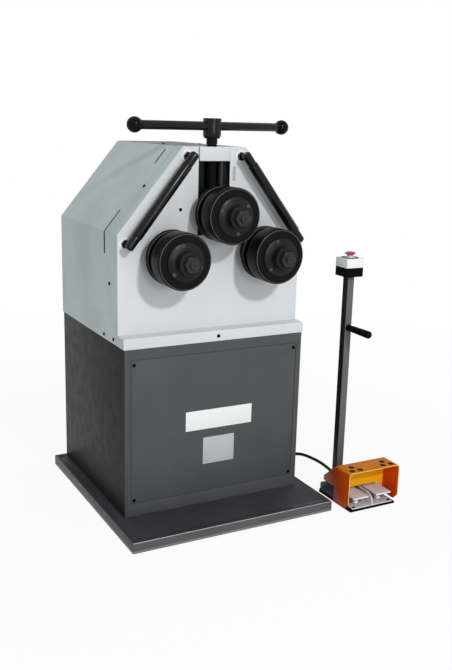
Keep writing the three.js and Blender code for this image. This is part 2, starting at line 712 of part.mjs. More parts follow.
function make_carriage() {
  const top = upper_roll_z + carriage_rise;
  const foot = upper_roll_z - carriage_drop;
  const front = mask_front + carriage_front_setback;
  const half = slot_width / 2 - guide_strip_width - running_gap;
  const plate_front = frame_back + running_gap;
  const plate_half = carriage_plate_width / 2;
  const sleeve_back = rear_frame_back + shaft_tail / 2;
  const tongue = block(-half, half, front, plate_front + seat_gap, foot, top);
  const plate_back = plate_front + carriage_plate_thickness;
  const plate = block(-plate_half, plate_half, plate_front, plate_back, foot, top);
  const sleeve = rod_y(sleeve_radius, plate_front, sleeve_back, 0, upper_roll_z);
  const bore = rod_y(shaft_radius + running_gap, front - cut_overrun, sleeve_back + cut_overrun,
    0, upper_roll_z);
  const collar_half = screw_collar_radius + running_gap;
  const collar_foot = top - screw_collar_depth;
  const collar_slot = block(-collar_half, collar_half, front - cut_overrun, screw_y + collar_half,
    collar_foot - running_gap, collar_foot + screw_collar_width + running_gap);
  const neck_half = screw_radius + running_gap;
  const neck_slot = block(-neck_half, neck_half, front - cut_overrun, screw_y + neck_half,
    collar_foot, top + cut_overrun);
  add('carriage_block', cut(join(tongue, plate, sleeve), bore, collar_slot, neck_slot), dark_casting);
}

function make_screw_and_handle() {
  const handle = new THREE.Group();
  handle.position.set(0, screw_y, 0);
  handle.rotation.z = handle_turn;
  group.add(handle);
  const collar_foot = upper_roll_z + carriage_rise - screw_collar_depth;
  const collar_top = collar_foot + screw_collar_width;
  const hub_foot = housing_top + screw_neck;
  const pin_top = hub_foot + screw_pin_length;
  add('lead_screw', turned_z([
    [0, collar_foot], [screw_collar_radius, collar_foot], [screw_collar_radius, collar_top],
    [screw_radius, collar_top], [screw_radius, hub_foot], [screw_pin_radius, hub_foot],
    [screw_pin_radius, pin_top], [0, pin_top],
  ], middle_steps, 0, 0), bright_steel, handle);

  const hub_top = hub_foot + hub_height;
  const bar_z = hub_top - handle_drop;
  const bar_end = knob_reach - knob_radius + knob_bore;
  const bar_hole = rod_x(bar_radius + seat_gap, -hub_radius - cut_overrun, hub_radius + cut_overrun,
    0, bar_z);
  const hub = turned_z([
    [0, hub_foot + seat_gap], [hub_foot_radius, hub_foot + seat_gap], [hub_radius, hub_foot + hub_taper],
    [hub_radius, hub_top - hub_chamfer], [hub_radius - hub_chamfer, hub_top], [0, hub_top],
  ], middle_steps, 0, 0);
  const pin_hole = rod_z(screw_pin_radius + seat_gap, hub_foot - cut_overrun, pin_top + seat_gap, 0, 0);
  add('handle_hub', cut(hub, bar_hole, pin_hole), black_steel, handle);
  add('cross_bar', rod_x(bar_radius, -bar_end, bar_end, 0, bar_z), black_steel, handle);
  for (const [name, side] of [['left', -1], ['right', 1]]) {
    const ball = new THREE.SphereGeometry(knob_radius, small_steps, small_steps / 2);
    const socket = [side * (bar_end + seat_gap), side * (knob_reach - knob_radius - cut_overrun)];
    const ball_solid = solid(ball.rotateX(Math.PI / 2).translate(side * knob_reach, 0, bar_z));
    const bore = rod_x(bar_radius + seat_gap, Math.min(...socket), Math.max(...socket), 0, bar_z);
    add(`${name}_knob`, cut(ball_solid, bore), black_plastic, handle);
  }
}

// A guide bar: a rod on two stand-offs, with a roller sleeve that turns on its thinner middle
function make_guide_bar(name, side) {
  const top = [side * (roof_width / 2 - bar_top_inset), housing_top - bar_top_drop];
  const foot = [side * (housing_half - bar_foot_inset), slope_start - bar_foot_drop];
  const span = Math.hypot(top[0] - foot[0], top[1] - foot[1]);
  const half = span / 2 + bar_end_reach;
  const bar = new THREE.Group();
  bar.position.set((top[0] + foot[0]) / 2, mask_front - bar_standoff, (top[1] + foot[1]) / 2);
  bar.rotation.y = Math.atan2(top[1] - foot[1], foot[0] - top[0]);
  group.add(bar);
  const core = half - bar_cap_length;
  const foot_y = bar_standoff - seat_gap;
  const rod = turned_x([
    [0, -half], [rod_end_radius, -half], [rod_end_radius, -core], [rod_core_radius, -core],
    [rod_core_radius, core], [rod_end_radius, core], [rod_end_radius, half], [0, half],
  ], small_steps, 0, 0);
  const stand = (x) => turned_y([
    [0, 0], [standoff_radius, 0], [standoff_radius, foot_y - standoff_foot_width],
    [standoff_foot_radius, foot_y - standoff_foot_width], [standoff_foot_radius, foot_y], [0, foot_y],
  ], small_steps, x, 0);
  add(`${name}_guide_rod`, join(rod, stand(-span / 2), stand(span / 2)), black_steel, bar);
  add(`${name}_guide_roller`, turned_x(tube_profile(rod_core_radius + running_gap, roller_radius,
    -core + seat_gap, core - seat_gap), small_steps, 0, 0), black_steel, bar);
}

function make_foot_switch() {
  const unit = new THREE.Group();
  unit.position.set(pedal_unit_x, foot_front, 0);
  group.add(unit);
  const base_half = pedal_base_width / 2;
  const chamfer = pedal_base_chamfer;
  add('pedal_base', prism_z(outline([
    [-base_half, 0], [base_half, 0], [base_half, pedal_base_depth - chamfer],
    [base_half - chamfer, pedal_base_depth], [chamfer - base_half, pedal_base_depth],
    [-base_half, pedal_base_depth - chamfer],
  ]), 0, pedal_base_height), black_plastic, unit);

  const tread_top = pedal_base_top + tread_height;
  const fin_foot = tread_top - tread_height / 2;
  const fin = new THREE.Shape();
  fin.moveTo(tread_inset, fin_foot);
  fin.quadraticCurveTo(tread_inset, tread_top + fin_height, fin_depth / 2, tread_top + fin_height);
  fin.lineTo(fin_depth, tread_top + fin_height);
  fin.lineTo(fin_depth, fin_foot);
  const tread = block(-tread_width / 2, tread_width / 2, tread_inset, tread_inset + tread_depth,
    pedal_base_top, tread_top);
  add('tread_plate', join(tread, prism_x(fin, -fin_width / 2, fin_width / 2)), pedal_metal, unit);

  // Dark body: the switch housing with pockets for the pedals, a shelf round the post and the cable nose
  const body_half = body_width / 2;
  const body_back = body_front + body_depth;
  const shelf_back = body_back + shelf_depth;
  const housing = prism_z(outline([
    [-body_half, body_front], [body_half, body_front], [body_half, body_back - 2 * body_taper],
    [body_half - body_taper, body_back], [body_taper - body_half, body_back],
    [-body_half, body_back - 2 * body_taper],
  ]), body_foot, body_crown).intersect(prism_x(outline([
    [body_front, body_foot], [body_back, body_foot],
    [body_back, body_top + body_slope * (hood_depth - body_back)],
    [body_front, body_top + body_slope * (hood_depth - body_front)],
  ]), -body_half, body_half));
  const shelf = prism_z(outline([
    [-body_half, body_front], [body_half, body_front], [body_half, shelf_back - 2 * body_taper],
    [body_half - body_taper, shelf_back], [body_taper - body_half, shelf_back],
    [-body_half, shelf_back - 2 * body_taper],
  ]), body_foot, body_foot + shelf_height);
  const nose = rod_y(nose_radius, shelf_back - cut_overrun, shelf_back + nose_length,
    nose_x, nose_height, small_steps);
  const post_half = post_width / 2 + seat_gap;
  const post_hole = block(post_x - post_half, post_x + post_half, post_setback - post_half,
    post_setback + post_half, body_foot - cut_overrun, body_top + cut_overrun);
  const pocket_half = pedal_barrel_length / 2 + running_gap;
  const pocket_foot = pedal_top - pedal_flange - pedal_barrel_radius - running_gap;
  const pocket = (x) => block(x - pocket_half, x + pocket_half, body_front - cut_overrun,
    body_front + pedal_pocket_depth, pocket_foot, body_crown + cut_overrun);
  const pitch = pedal_pitch / 2;
  const body = cut(join(housing, shelf, nose), post_hole, pocket(-pitch), pocket(pitch));
  add('pedal_body', body, dark_casting, unit);

  make_hood(unit);
  make_pedal('left_pedal', -pitch, unit);
  make_pedal('right_pedal', pitch, unit);
  make_post(unit);
}

// The hood's outside or inside: side view, plan and front view, moved in by one inset, cut by each other
function hood_form(inset) {
  const open = inset > 0 ? cut_overrun : 0;
  const top = hood_foot + hood_height;
  const back_foot = body_top + seat_gap;
  const back_top = back_foot + hood_back_height;
  const fall = top - back_top;
  const run = hood_depth - hood_roof_depth;
  const drop = inset * Math.hypot(fall, run) / run; // the roof's slope moved in, measured upright
  const at = (y) => top - fall * (y - hood_roof_depth) / run - drop;
  const roof_break = hood_roof_depth - (drop - inset) * run / fall;
  const inner_side = [
    [-open, hood_foot - open], [-open, top - inset], [roof_break, top - inset],
    [hood_depth - inset, at(hood_depth - inset)], [hood_depth - inset, hood_foot - open],
  ];
  const outer_side = [
    [hood_chamfer, hood_foot], [0, hood_foot + hood_chamfer], [0, top], [hood_roof_depth, top],
    [hood_depth, back_top], [hood_depth, back_foot], [hood_side_depth, back_foot + hood_edge_rise],
    [hood_side_depth, hood_foot],
  ];
  const side = open > 0 ? inner_side : outer_side;
  const half = hood_width / 2 - inset;
  const back_half = hood_back_width / 2 - inset;
  const plan = [[-half, -open], [half, -open], [half, hood_side_depth], [back_half, hood_depth],
    [-back_half, hood_depth], [-half, hood_side_depth]];
  const corner = hood_corner - inset;
  const front = new THREE.Shape();
  front.moveTo(-half, hood_foot - open);
  front.lineTo(half, hood_foot - open);
  front.lineTo(half, top - inset - corner);
  front.absarc(half - corner, top - inset - corner, corner, 0, Math.PI / 2, false);
  front.absarc(corner - half, top - inset - corner, corner, Math.PI / 2, Math.PI, false);
  return prism_x(outline(side), -half, half)
    .intersect(prism_z(outline(plan), hood_foot - open, top))
    .intersect(prism_y(front, -open, hood_depth));
}

function make_hood(unit) {
  const half = hood_width / 2;
  const wall = hood_form(0).intersect(block(-half, half, hood_side_depth - hood_wall, hood_side_depth,
    body_top + seat_gap, hood_foot + hood_height));
  const cheek_x = pedal_pitch / 2 + pedal_width / 2 + hood_cheek_gap;
  const cheek_foot = pedal_base_top + tread_height + hood_cheek_gap;
  const cheek = (x0, x1) => hood_form(0).intersect(block(x0, x1, hood_side_depth - hood_wall,
    hood_side_depth, cheek_foot, body_top + hood_wall));
  const shell = join(cut(hood_form(0), hood_form(hood_wall)), wall);
  add('pedal_hood', join(shell, cheek(-half, -cheek_x), cheek(cheek_x, half)), hood_plastic, unit);
}

function make_pedal(name, x, unit) {
  const half = pedal_width / 2;
  const back = pedal_front + pedal_length;
  const under = pedal_top - pedal_sheet;
  const barrel_z = pedal_top - pedal_flange;
  const plate = cut(block(x - half, x + half, pedal_front, back, pedal_top - pedal_flange, pedal_top),
    block(x - half + pedal_sheet, x + half - pedal_sheet, pedal_front + pedal_sheet, back - pedal_sheet,
      pedal_top - pedal_flange - cut_overrun, under));
  const arm = block(x - pedal_arm_width / 2, x + pedal_arm_width / 2,
    back - pedal_sheet, pedal_barrel_front, barrel_z - pedal_sheet / 2, barrel_z + pedal_sheet / 2);
  const barrel = rod_x(pedal_barrel_radius, x - pedal_barrel_length / 2, x + pedal_barrel_length / 2,
    pedal_barrel_front, barrel_z, small_steps);
  add(name, join(plate, arm, barrel), pedal_metal, unit);
}

function make_post(unit) {
  const half = post_width / 2;
  const inner = half - post_wall;
  const grip_foot = post_setback - half - seat_gap;
  const tube = cut(
    block(post_x - half, post_x + half, post_setback - half, post_setback + half, pedal_base_top, post_top),
    block(post_x - inner, post_x + inner, post_setback - inner, post_setback + inner,
      pedal_base_top - cut_overrun, post_top + cut_overrun),
    rod_y(grip_stud_radius + seat_gap, post_setback - half - cut_overrun, post_setback, post_x, grip_height,
      small_steps));
  add('post', tube, post_paint, unit);
  const dome = grip_end_radius / 3;
  add('grip', turned_y([
    [0, grip_foot - grip_length], [grip_end_radius - dome, grip_foot - grip_length],
    [grip_end_radius, grip_foot - grip_length + dome],
    [grip_end_radius, grip_foot - grip_length + 2 * dome],
    [grip_root_radius, grip_foot], [grip_stud_radius, grip_foot],
    [grip_stud_radius, post_setback - half + post_wall], [0, post_setback - half + post_wall],
  ], small_steps, post_x, grip_height), black_plastic, unit);

  const box_half = stop_box_width / 2;
  const x = [post_x - box_half, post_x + box_half];
  const y = [post_setback - box_half, post_setback + box_half];
  const hollow = (z0, z1) => block(
    x[0] + stop_wall, x[1] - stop_wall, y[0] + stop_wall, y[1] - stop_wall, z0, z1);
  const base_foot = post_top + seat_gap;
  const base_top = base_foot + stop_base_height;
  const base_hollow = hollow(base_foot + stop_wall, base_top + cut_overrun);
  add('stop_base', cut(block(...x, ...y, base_foot, base_top), base_hollow), black_plastic, unit);
  const cover_foot = base_top + seat_gap;
  const cover_top = cover_foot + stop_cover_height;
  const ring_top = cover_top + stop_ring_height;
  const stem_hole = rod_z(stop_stem_radius + running_gap, cover_foot, ring_top + cut_overrun,
    post_x, post_setback);
  add('stop_cover', cut(join(block(...x, ...y, cover_foot, cover_top),
    rod_z(stop_ring_radius, cover_top - stop_wall / 2, ring_top, post_x, post_setback)),
  hollow(cover_foot - cut_overrun, cover_top - stop_wall), stem_hole), white_plastic, unit);
  const stem_foot = cover_top - stop_stem_length;
  const head_foot = cover_top + stop_stem_rise;
  const head_top = head_foot + stop_head_height;
  add('stop_button', turned_z([
    [0, stem_foot], [stop_stem_radius, stem_foot], [stop_stem_radius, head_foot],
    [stop_head_foot_radius, head_foot], [stop_head_radius, head_foot + stop_head_height / 2],
    [stop_head_radius, head_top - stop_head_height * stop_head_rim_share],
    [stop_head_radius * stop_head_crown_share, head_top], [0, head_top],
  ], middle_steps, post_x, post_setback), red_plastic, unit);
}

function make_gland() {
  const wall = cabinet_side + seat_gap;
  add('cable_gland', turned_x([
    [cable_radius, wall], [gland_nut_radius, wall], [gland_nut_radius, wall + gland_nut_width],
    [gland_radius, wall + gland_nut_width], [cable_radius + cable_radius / 3, wall + gland_length],
    [cable_radius, wall + gland_length],
  ], small_steps, cabinet_front + gland_setback, gland_height), black_plastic);
}

// A free stretch of cable: one extruded section along a smooth curve through its route points
function make_stretch(name, route) {
  const points = route.map(([x, y, z]) => new THREE.Vector3(cabinet_side + x, cabinet_front + y, z));
  const curve = new THREE.CatmullRomCurve3(points);
  const section = new THREE.Shape();
  section.absarc(0, 0, cable_radius, 0, 2 * Math.PI, false);
  const steps = Math.round(curve.getLength() / (5 * cable_radius));
  const geometry = new THREE.ExtrudeGeometry(section, {
    steps, extrudePath: curve, bevelEnabled: false, curveSegments: cable_sides / 2,
  });
  add(name, solid(geometry), cable_rubber);
  return curve.getLength();
}

// The stored coil: in along the upper layer, down within half a turn, and out along the floor
function coil_points() {
  const turns = 2 * coil_layer_turns + coil_drop_turns;
  const middle_y = cabinet_front + gland_setback + coil_radius;
  const points = [];
  const steps = Math.round(turns * coil_loop_steps);
  for (let i = 0; i <= steps; i += 1) {
    const turn = i / coil_loop_steps;
    const descent = Math.min(1, Math.max(0, (turn - coil_layer_turns) / coil_drop_turns));
    const radius = coil_radius - coil_pitch * Math.min(turn, turns - turn);
    const angle = -Math.PI / 2 + turn * 2 * Math.PI;
    points.push(new THREE.Vector3(coil_x + radius * Math.cos(angle), middle_y + radius * Math.sin(angle),
      cable_rest + coil_pitch * (1 + Math.cos(Math.PI * descent)) / 2));
  }
  const straight = 2 * cable_radius;
  const first = points[0].clone().add(new THREE.Vector3(-straight, 0, 0));
  const last = points[points.length - 1].clone().add(new THREE.Vector3(straight, 0, 0));
  return [first, ...points, last];
}

// A closed tube through points, its rings carried along without twist
function tube_through(points, radius, sides) {
  const tangent = points.map((point, i) => {
    const ahead = points[Math.min(i + 1, points.length - 1)];
    const behind = points[Math.max(i - 1, 0)];
    return ahead.clone().sub(behind).normalize();
  });
  tangent[0].set(1, 0, 0);
  tangent[tangent.length - 1].set(1, 0, 0);
  const positions = [];
  const index = [];
  points.forEach((point, i) => {
    const side = new THREE.Vector3(0, 0, 1).cross(tangent[i]).normalize();
    const up = tangent[i].clone().cross(side);
    for (let k = 0; k < sides; k += 1) {
      const angle = 2 * Math.PI * k / sides;
      const rim = point.clone();
      rim.addScaledVector(side, radius * Math.cos(angle));
      rim.addScaledVector(up, radius * Math.sin(angle));
      positions.push(rim.x, rim.y, rim.z);
      const next = (k + 1) % sides;
      if (i > 0) {
        const [a, b, c, d] = [(i - 1) * sides + k, (i - 1) * sides + next, i * sides + next, i * sides + k];
        index.push(a, b, c, a, c, d);
      }
    }
  });
  const end = (points.length - 1) * sides;
  for (let k = 1; k < sides - 1; k += 1) index.push(0, k + 1, k, end, end + k, end + k + 1);
  const geometry = new THREE.BufferGeometry();
  geometry.setAttribute('position', new THREE.Float32BufferAttribute(positions, 3));
  geometry.setIndex(index);
  return geometry;
}

// The least gap between stretches of the coil that are more than half a turn apart
function coil_gap(points) {
  let least = Infinity;
  for (let i = 0; i < points.length; i += 1) {
    for (let j = i + coil_loop_steps / 2; j < points.length - 1; j += 1) {
      const segment = new THREE.Line3(points[j], points[j + 1]);
      const nearest = segment.closestPointToPoint(points[i], true, new THREE.Vector3());
      least = Math.min(least, nearest.distanceTo(points[i]) - 2 * cable_radius);
    }
  }
  return least;
}

function make_cable() {
  const entry = make_stretch('cable_entry', entry_route);
  const run = make_stretch('cable_run', run_route);
  const points = coil_points();
  add('cable_coil', solid(tube_through(points, cable_radius, coil_sides)), cable_rubber);
  const wound = points.slice(1).reduce((sum, point, i) => sum + point.distanceTo(points[i]), 0);
  console.log(`cable: entry ${entry.toFixed(1)}, coil ${wound.toFixed(1)}, run ${run.toFixed(1)} mm`);
  console.log(`least gap of the coil to itself ${coil_gap(points).toFixed(2)} mm`);
}

make_base_tray();
make_cabinet();
make_mask();
make_covers();
make_frame();
const rear_tail = rear_frame_back + shaft_tail;
make_roll('left', -lower_roll_x, lower_roll_z, rear_tail);
make_roll('right', lower_roll_x, lower_roll_z, rear_tail);
make_roll('upper', 0, upper_roll_z, rear_tail);
make_bearing_cap('left', -lower_roll_x);
make_bearing_cap('right', lower_roll_x);
make_drive();
make_carriage();
make_screw_and_handle();
make_guide_bar('left', -1);
make_guide_bar('right', 1);
make_foot_switch();
make_gland();
make_cable();

export default group;
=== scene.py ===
"""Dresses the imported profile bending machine: fine surfaces, small parts, finishes, studio and camera.

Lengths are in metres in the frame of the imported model: the floor is z = 0, +Y runs to the back of the
machine and +X to its right, where the foot switch stands.
"""
import logging
import math
from collections.abc import Callable, Iterable, Sequence
from dataclasses import dataclass, replace
from enum import Enum

import bmesh
import bpy
from bmesh.types import BMEdge, BMesh
from bpy.types import Material, Node, NodeSocket, NodeTree, Object
from mathutils import Matrix, Vector


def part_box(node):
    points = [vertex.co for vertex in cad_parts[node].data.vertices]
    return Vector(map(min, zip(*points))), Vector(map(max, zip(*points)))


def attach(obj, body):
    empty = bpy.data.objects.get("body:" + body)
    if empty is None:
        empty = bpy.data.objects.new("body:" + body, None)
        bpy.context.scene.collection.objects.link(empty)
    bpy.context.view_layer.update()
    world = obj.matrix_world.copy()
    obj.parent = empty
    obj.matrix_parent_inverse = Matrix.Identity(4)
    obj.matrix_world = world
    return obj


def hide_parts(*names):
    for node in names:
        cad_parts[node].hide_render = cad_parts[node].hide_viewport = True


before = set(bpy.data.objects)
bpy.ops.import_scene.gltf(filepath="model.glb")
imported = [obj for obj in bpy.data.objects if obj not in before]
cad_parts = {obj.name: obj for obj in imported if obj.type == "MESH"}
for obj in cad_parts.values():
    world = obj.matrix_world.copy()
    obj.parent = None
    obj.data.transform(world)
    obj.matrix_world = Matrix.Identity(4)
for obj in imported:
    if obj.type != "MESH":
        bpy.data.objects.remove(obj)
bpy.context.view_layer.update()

log = logging.getLogger("bending_machine")

Point = tuple[float, float, float]
Colour = tuple[int, int, int]
Pair = tuple[float, float]
Quad = tuple[float, float, float, float]
Profile = Sequence[Pair]
EdgeTest = Callable[[BMEdge], bool]

MACHINE = "machine"  # the body that stands still
SIDES = {"left": -1, "right": 1}
X, Y, Z = Vector((1, 0, 0)), Vector((0, 1, 0)), Vector((0, 0, 1))
ORIGIN = Vector((0, 0, 0))
EVEN: Point = (1.0, 1.0, 1.0)
WHITE = (1.0, 1.0, 1.0, 1.0)
TINY = 1e-4  # two faces nearer than this lie in one plane
TOWARDS = 0.5  # the least share of a normal along an axis where the face looks that way
SQUARE = 0.9  # the same where the face looks almost straight that way


# Finishes

def linear(colour: Colour) -> tuple[float, ...]:
    """Turns red, green and blue from 0 to 255 into linear values with an alpha of 1."""
    shares = [value / 255 for value in colour]
    return *(s / 12.92 if s <= 0.04045 else ((s + 0.055) / 1.055) ** 2.4 for s in shares), 1.0


@dataclass(frozen=True)
class Noise:
    """The numbers of a noise."""

    scale: float  # features per metre
    octaves: float = 4.0
    rough: float = 0.55  # how much the finer octaves count
    centre: Point = (0.0, 0.0, 0.0)
    stretch: Point = EVEN


class Shader:
    """A node tree with the few calls that the finishes and the studio need."""

    def __init__(self, tree: NodeTree) -> None:
        """Empties the tree."""
        self.tree = tree
        tree.nodes.clear()

    def feed(self, socket: NodeSocket, value: object) -> None:
        """Links a socket to another one or sets its value.

        Args:
            socket: The input.
            value: A socket, a number or a colour.
        """
        if isinstance(value, NodeSocket):
            self.tree.links.new(value, socket)
        else:
            socket.default_value = value

    def add(self, kind: str, inputs: dict, **settings: object) -> Node:
        """Adds a node.

        Args:
            kind: The end of its type's name.
            inputs: What its inputs get, by name or place.
            **settings: Attributes to set on it.

        Returns:
            The node.
        """
        node = self.tree.nodes.new(f"ShaderNode{kind}")
        for key, value in settings.items():
            setattr(node, key, value)
        for key, value in inputs.items():
            self.feed(node.inputs[key], value)
        return node

    def math(self, operation: str, *values: object) -> NodeSocket:
        """Gives the result of a Math node."""
        return self.add("Math", dict(enumerate(values)), operation=operation).outputs["Value"]

    def place(self, stretch: Point = EVEN, centre: Point = (0.0, 0.0, 0.0)) -> NodeSocket:
        """Gives object coordinates for a pattern.

        Args:
            stretch: The pattern's scale along each axis.
            centre: The point that is the pattern's middle.

        Returns:
            The coordinates.
        """
        start = [-c * s for c, s in zip(centre, stretch)]
        return self.add("Mapping", {"Vector": self.add("TexCoord", {}).outputs["Object"], "Scale": stretch,
                                    "Location": start}, vector_type="POINT").outputs["Vector"]

    def noise(self, noise: Noise, vector: NodeSocket | None = None) -> NodeSocket:
        """Gives a noise from 0 to 1.

        Args:
            noise: The noise's settings.
            vector: Its coordinates, or None for the object's own.

        Returns:
            The noise's value.
        """
        inputs = {"Vector": vector or self.place(noise.stretch, noise.centre), "Scale": noise.scale,
                  "Detail": noise.octaves, "Roughness": noise.rough}
        return self.add("TexNoise", inputs, noise_dimensions="3D").outputs["Fac"]

    def spread(self, value: NodeSocket, low: float, high: float, source_low: float = 0.3,
               source_high: float = 0.7) -> NodeSocket:
        """Stretches a value from the source's range to another one and stops it at the ends."""
        return self.add("MapRange", {"Value": value, "From Min": source_low, "From Max": source_high,
                                     "To Min": low, "To Max": high}).outputs["Result"]

    def blend(self, share: NodeSocket, *colours: object) -> NodeSocket:
        """Mixes two colours.

        Args:
            share: How much of the second colour shows.
            *colours: The two colours, or their sockets.

        Returns:
            The mixed colour.
        """
        node = self.add("Mix", {"Factor": share}, data_type="RGBA")
        for socket, colour in zip([s for s in node.inputs if s.type == "RGBA"], colours):
            self.feed(socket, colour)
        return next(s for s in node.outputs if s.type == "RGBA")


class Grain(Enum):
    """The kind of fine relief: octaves, weight of the finer ones and stretch of its noise."""

    PEEL = (3.0, 0.35, EVEN)  # the faint waves of sprayed paint
    CAST = (3.0, 0.65, EVEN)  # the fine pits of a casting or of moulded plastic
    TURNED = (2.0, 0.5, EVEN)  # rings left by the lathe
    BRUSHED = (2.0, 0.5, (0.03, 1.0, 1.0))  # fine lines along one direction


@dataclass(frozen=True)
class Finish:
    """A finish: its colour with soft variation, its gloss and its fine relief."""

    name: str
    slot: str
    colour: Colour
    roughness: float
    metallic: float = 0.0
    coat: float = 0.0
    specular: float = 0.5
    vary: float = 0.08  # share of the colour's brightness
    vary_scale: float = 7.0
    gloss_share: float = 0.12  # of the roughness
    grain: Grain = Grain.PEEL
    grain_scale: float = 420.0
    grain_depth: float = 0.00002
    centre: Point = (0.0, 0.0, 0.0)  # on the axis of turned rings
    worn: Colour | None = None  # colour of rubbed spots
    worn_share: float = 0.0
    worn_noise: Noise = Noise(38.0, 5.0, 0.7, (0.3, 0.7, 0.1))
    worn_reach: Pair = (0.6, 0.75)  # of the noise, where spots begin and are whole
    bounce_band: Colour | None = None  # colour of the lowest strip, painted light bounced up from the floor
    bounce_band_reach: Pair = (0.0075, 0.009)  # heights where it begins to fade and ends
    gloss_noise: Noise = Noise(26.0, 4.0, 0.6, (0.1, 0.2, 0.9))
    coat_roughness: float = 0.18

    def height(self, shader: Shader) -> NodeSocket:
        """Builds the fine relief. Turned rings lie round an axis along Y through the finish's centre.

        Args:
            shader: The tree that it goes into.

        Returns:
            The height.
        """
        octaves, rough, stretch = self.grain.value
        noise = Noise(self.grain_scale, octaves, rough, self.centre, stretch)
        if self.grain is not Grain.TURNED:
            return shader.noise(noise)
        parts = shader.add("SeparateXYZ", {"Vector": shader.place(EVEN, self.centre)}).outputs
        square = [shader.math("POWER", parts[axis], 2.0) for axis in ("X", "Z")]
        radius = shader.math("SQRT", shader.math("ADD", *square))
        rings = shader.add("CombineXYZ", {"X": radius, "Y": parts["Y"]})
        return shader.noise(noise, rings.outputs["Vector"])

    def material(self) -> Material:
        """Makes the material, once for each finish.

        Returns:
            The material.
        """
        title = f"fine_{self.name}"
        if title in bpy.data.materials:
            return bpy.data.materials[title]
        material = bpy.data.materials.new(title)
        material.use_nodes = True
        shader = Shader(material.node_tree)
        tones = [[min(1.0, c * (1 + way * self.vary)) for c in linear(self.colour)[:3]] + [1.0]
                 for way in (-1, 1)]
        colour = shader.blend(shader.spread(shader.noise(Noise(self.vary_scale)), 0.0, 1.0), *tones)
        if self.worn:
            spots = shader.spread(shader.noise(self.worn_noise), 0.0, self.worn_share, *self.worn_reach)
            colour = shader.blend(spots, colour, linear(self.worn))
        # The lowest strip is painted light: the floor's bounce painted onto the bottom of the surface.
        if self.bounce_band:
            rise = shader.add("SeparateXYZ", {"Vector": shader.place()}).outputs["Z"]
            strip = shader.spread(rise, 1.0, 0.0, *self.bounce_band_reach)
            colour = shader.blend(strip, colour, linear(self.bounce_band))
        low, high = (min(1.0, self.roughness * (1 + way * self.gloss_share)) for way in (-1, 1))
        gloss = shader.spread(shader.noise(self.gloss_noise), low, high)
        bump = shader.add("Bump", {"Distance": self.grain_depth, "Height": self.height(shader)})
        surface = shader.add("BsdfPrincipled", {
            "Base Color": colour, "Metallic": self.metallic, "Roughness": gloss,
            "Specular IOR Level": self.specular, "Coat Weight": self.coat,
            "Coat Roughness": self.coat_roughness, "Normal": bump.outputs["Normal"]})
        shader.add("OutputMaterial", {"Surface": surface.outputs["BSDF"]})
        return material


CABINET_PAINT = Finish("cabinet_paint", "cabinet_paint", (78, 80, 82), 0.5, specular=0.2, vary=0.07)
# Painted shade: a darker copy of the cabinet's paint for its side faces.
CABINET_SIDE_SHADE = Finish("cabinet_side_painted_shade", "cabinet_paint", (31, 31, 34), 0.5, specular=0.1, vary=0.07)
# Painted shade: a darker copy of the tray's paint for its top.
TRAY_TOP_SHADE = Finish("tray_top_painted_shade", "cabinet_paint", (60, 59, 64), 0.5, specular=0.1, vary=0.1, vary_scale=5.0)
# The tray's rubbed spots are real wear; its lighter lowest strip is painted light bounced from the floor.
TRAY_PAINT = Finish("tray_paint", "cabinet_paint", (86, 88, 89), 0.5, specular=0.2, vary=0.12,
                    vary_scale=5.0, worn=(112, 114, 116), worn_share=0.2, bounce_band=(126, 126, 122))
# The lighter rounded fold along the tray's front: partly worn paint, partly painted highlight.
TRAY_EDGE_WEAR_AND_HIGHLIGHT = Finish("tray_edge_wear_and_highlight", "cabinet_paint", (170, 168, 174), 0.4, vary=0.2, vary_scale=30.0)
MASK_PAINT = Finish("mask_paint", "mask_paint", (217, 220, 223), 0.42, specular=0.3, vary=0.02)
# The cover's own grey-green, made darker than the mask partly as painted shade.
COVER_PAINT = Finish("cover_paint", "cover_paint", (198, 210, 213), 0.45, specular=0.3, vary=0.09,
                     vary_scale=5.0)
# Painted reflection: the cover's top is painted dark grey to stand for the dark room its gloss reflects.
ROOF_PAINTED_REFLECTION = Finish("roof_painted_reflection", "cover_paint", (102, 105, 110), 0.5, specular=0.2)
OXIDE = Finish("black_oxide", "black_steel", (14, 14, 15), 0.34, specular=0.08, vary=0.25, vary_scale=14.0,
               grain=Grain.CAST, grain_scale=900.0, grain_depth=0.00001, worn=(52, 50, 49), worn_share=0.15)
# A grey for edges: painted highlight lines on the rolls' front chamfers, wear and painted highlight on the
# tray's side folds, and the clamp screws' heads.
EDGE_WEAR_AND_HIGHLIGHT = Finish("edge_wear_and_highlight", "black_steel", (82, 80, 78), 0.38, specular=0.3, vary=0.35, vary_scale=32.0,
                   grain=Grain.CAST, grain_scale=900.0)
SATIN_BLACK = Finish("satin_black", "black_steel", (36, 36, 37), 0.36, specular=0.3, vary=0.2,
                     vary_scale=30.0, grain=Grain.CAST, grain_scale=1200.0, grain_depth=0.000006)
STRIP_EDGE = Finish("strip_edge", "black_steel", (120, 120, 122), 0.4, specular=0.3, vary=0.2)
BAR_BLACK = Finish("polished_black", "black_steel", (12, 12, 13), 0.24, specular=0.22, vary=0.2,
                   grain=Grain.CAST, grain_scale=1100.0, grain_depth=0.000004)
SLOT_BLACK = Finish("slot_black", "dark_casting", (16, 16, 17), 0.6, specular=0.08, vary=0.2)
BRIGHT = Finish("machined_steel", "bright_steel", (168, 170, 172), 0.3, metallic=1.0, grain=Grain.CAST,
                grain_scale=1500.0, grain_depth=0.000006)
CASTING = Finish("dark_casting", "dark_casting", (46, 48, 51), 0.7, specular=0.2, vary=0.15,
                 grain=Grain.CAST, grain_scale=650.0, grain_depth=0.00008)
SWITCH_BODY = Finish("switch_body", "dark_casting", (50, 54, 60), 0.6, specular=0.2, vary=0.1,
                     grain=Grain.CAST, grain_scale=900.0, grain_depth=0.00004)
MOTOR_PAINT = Finish("motor_paint", "motor_paint", (88, 108, 128), 0.5)
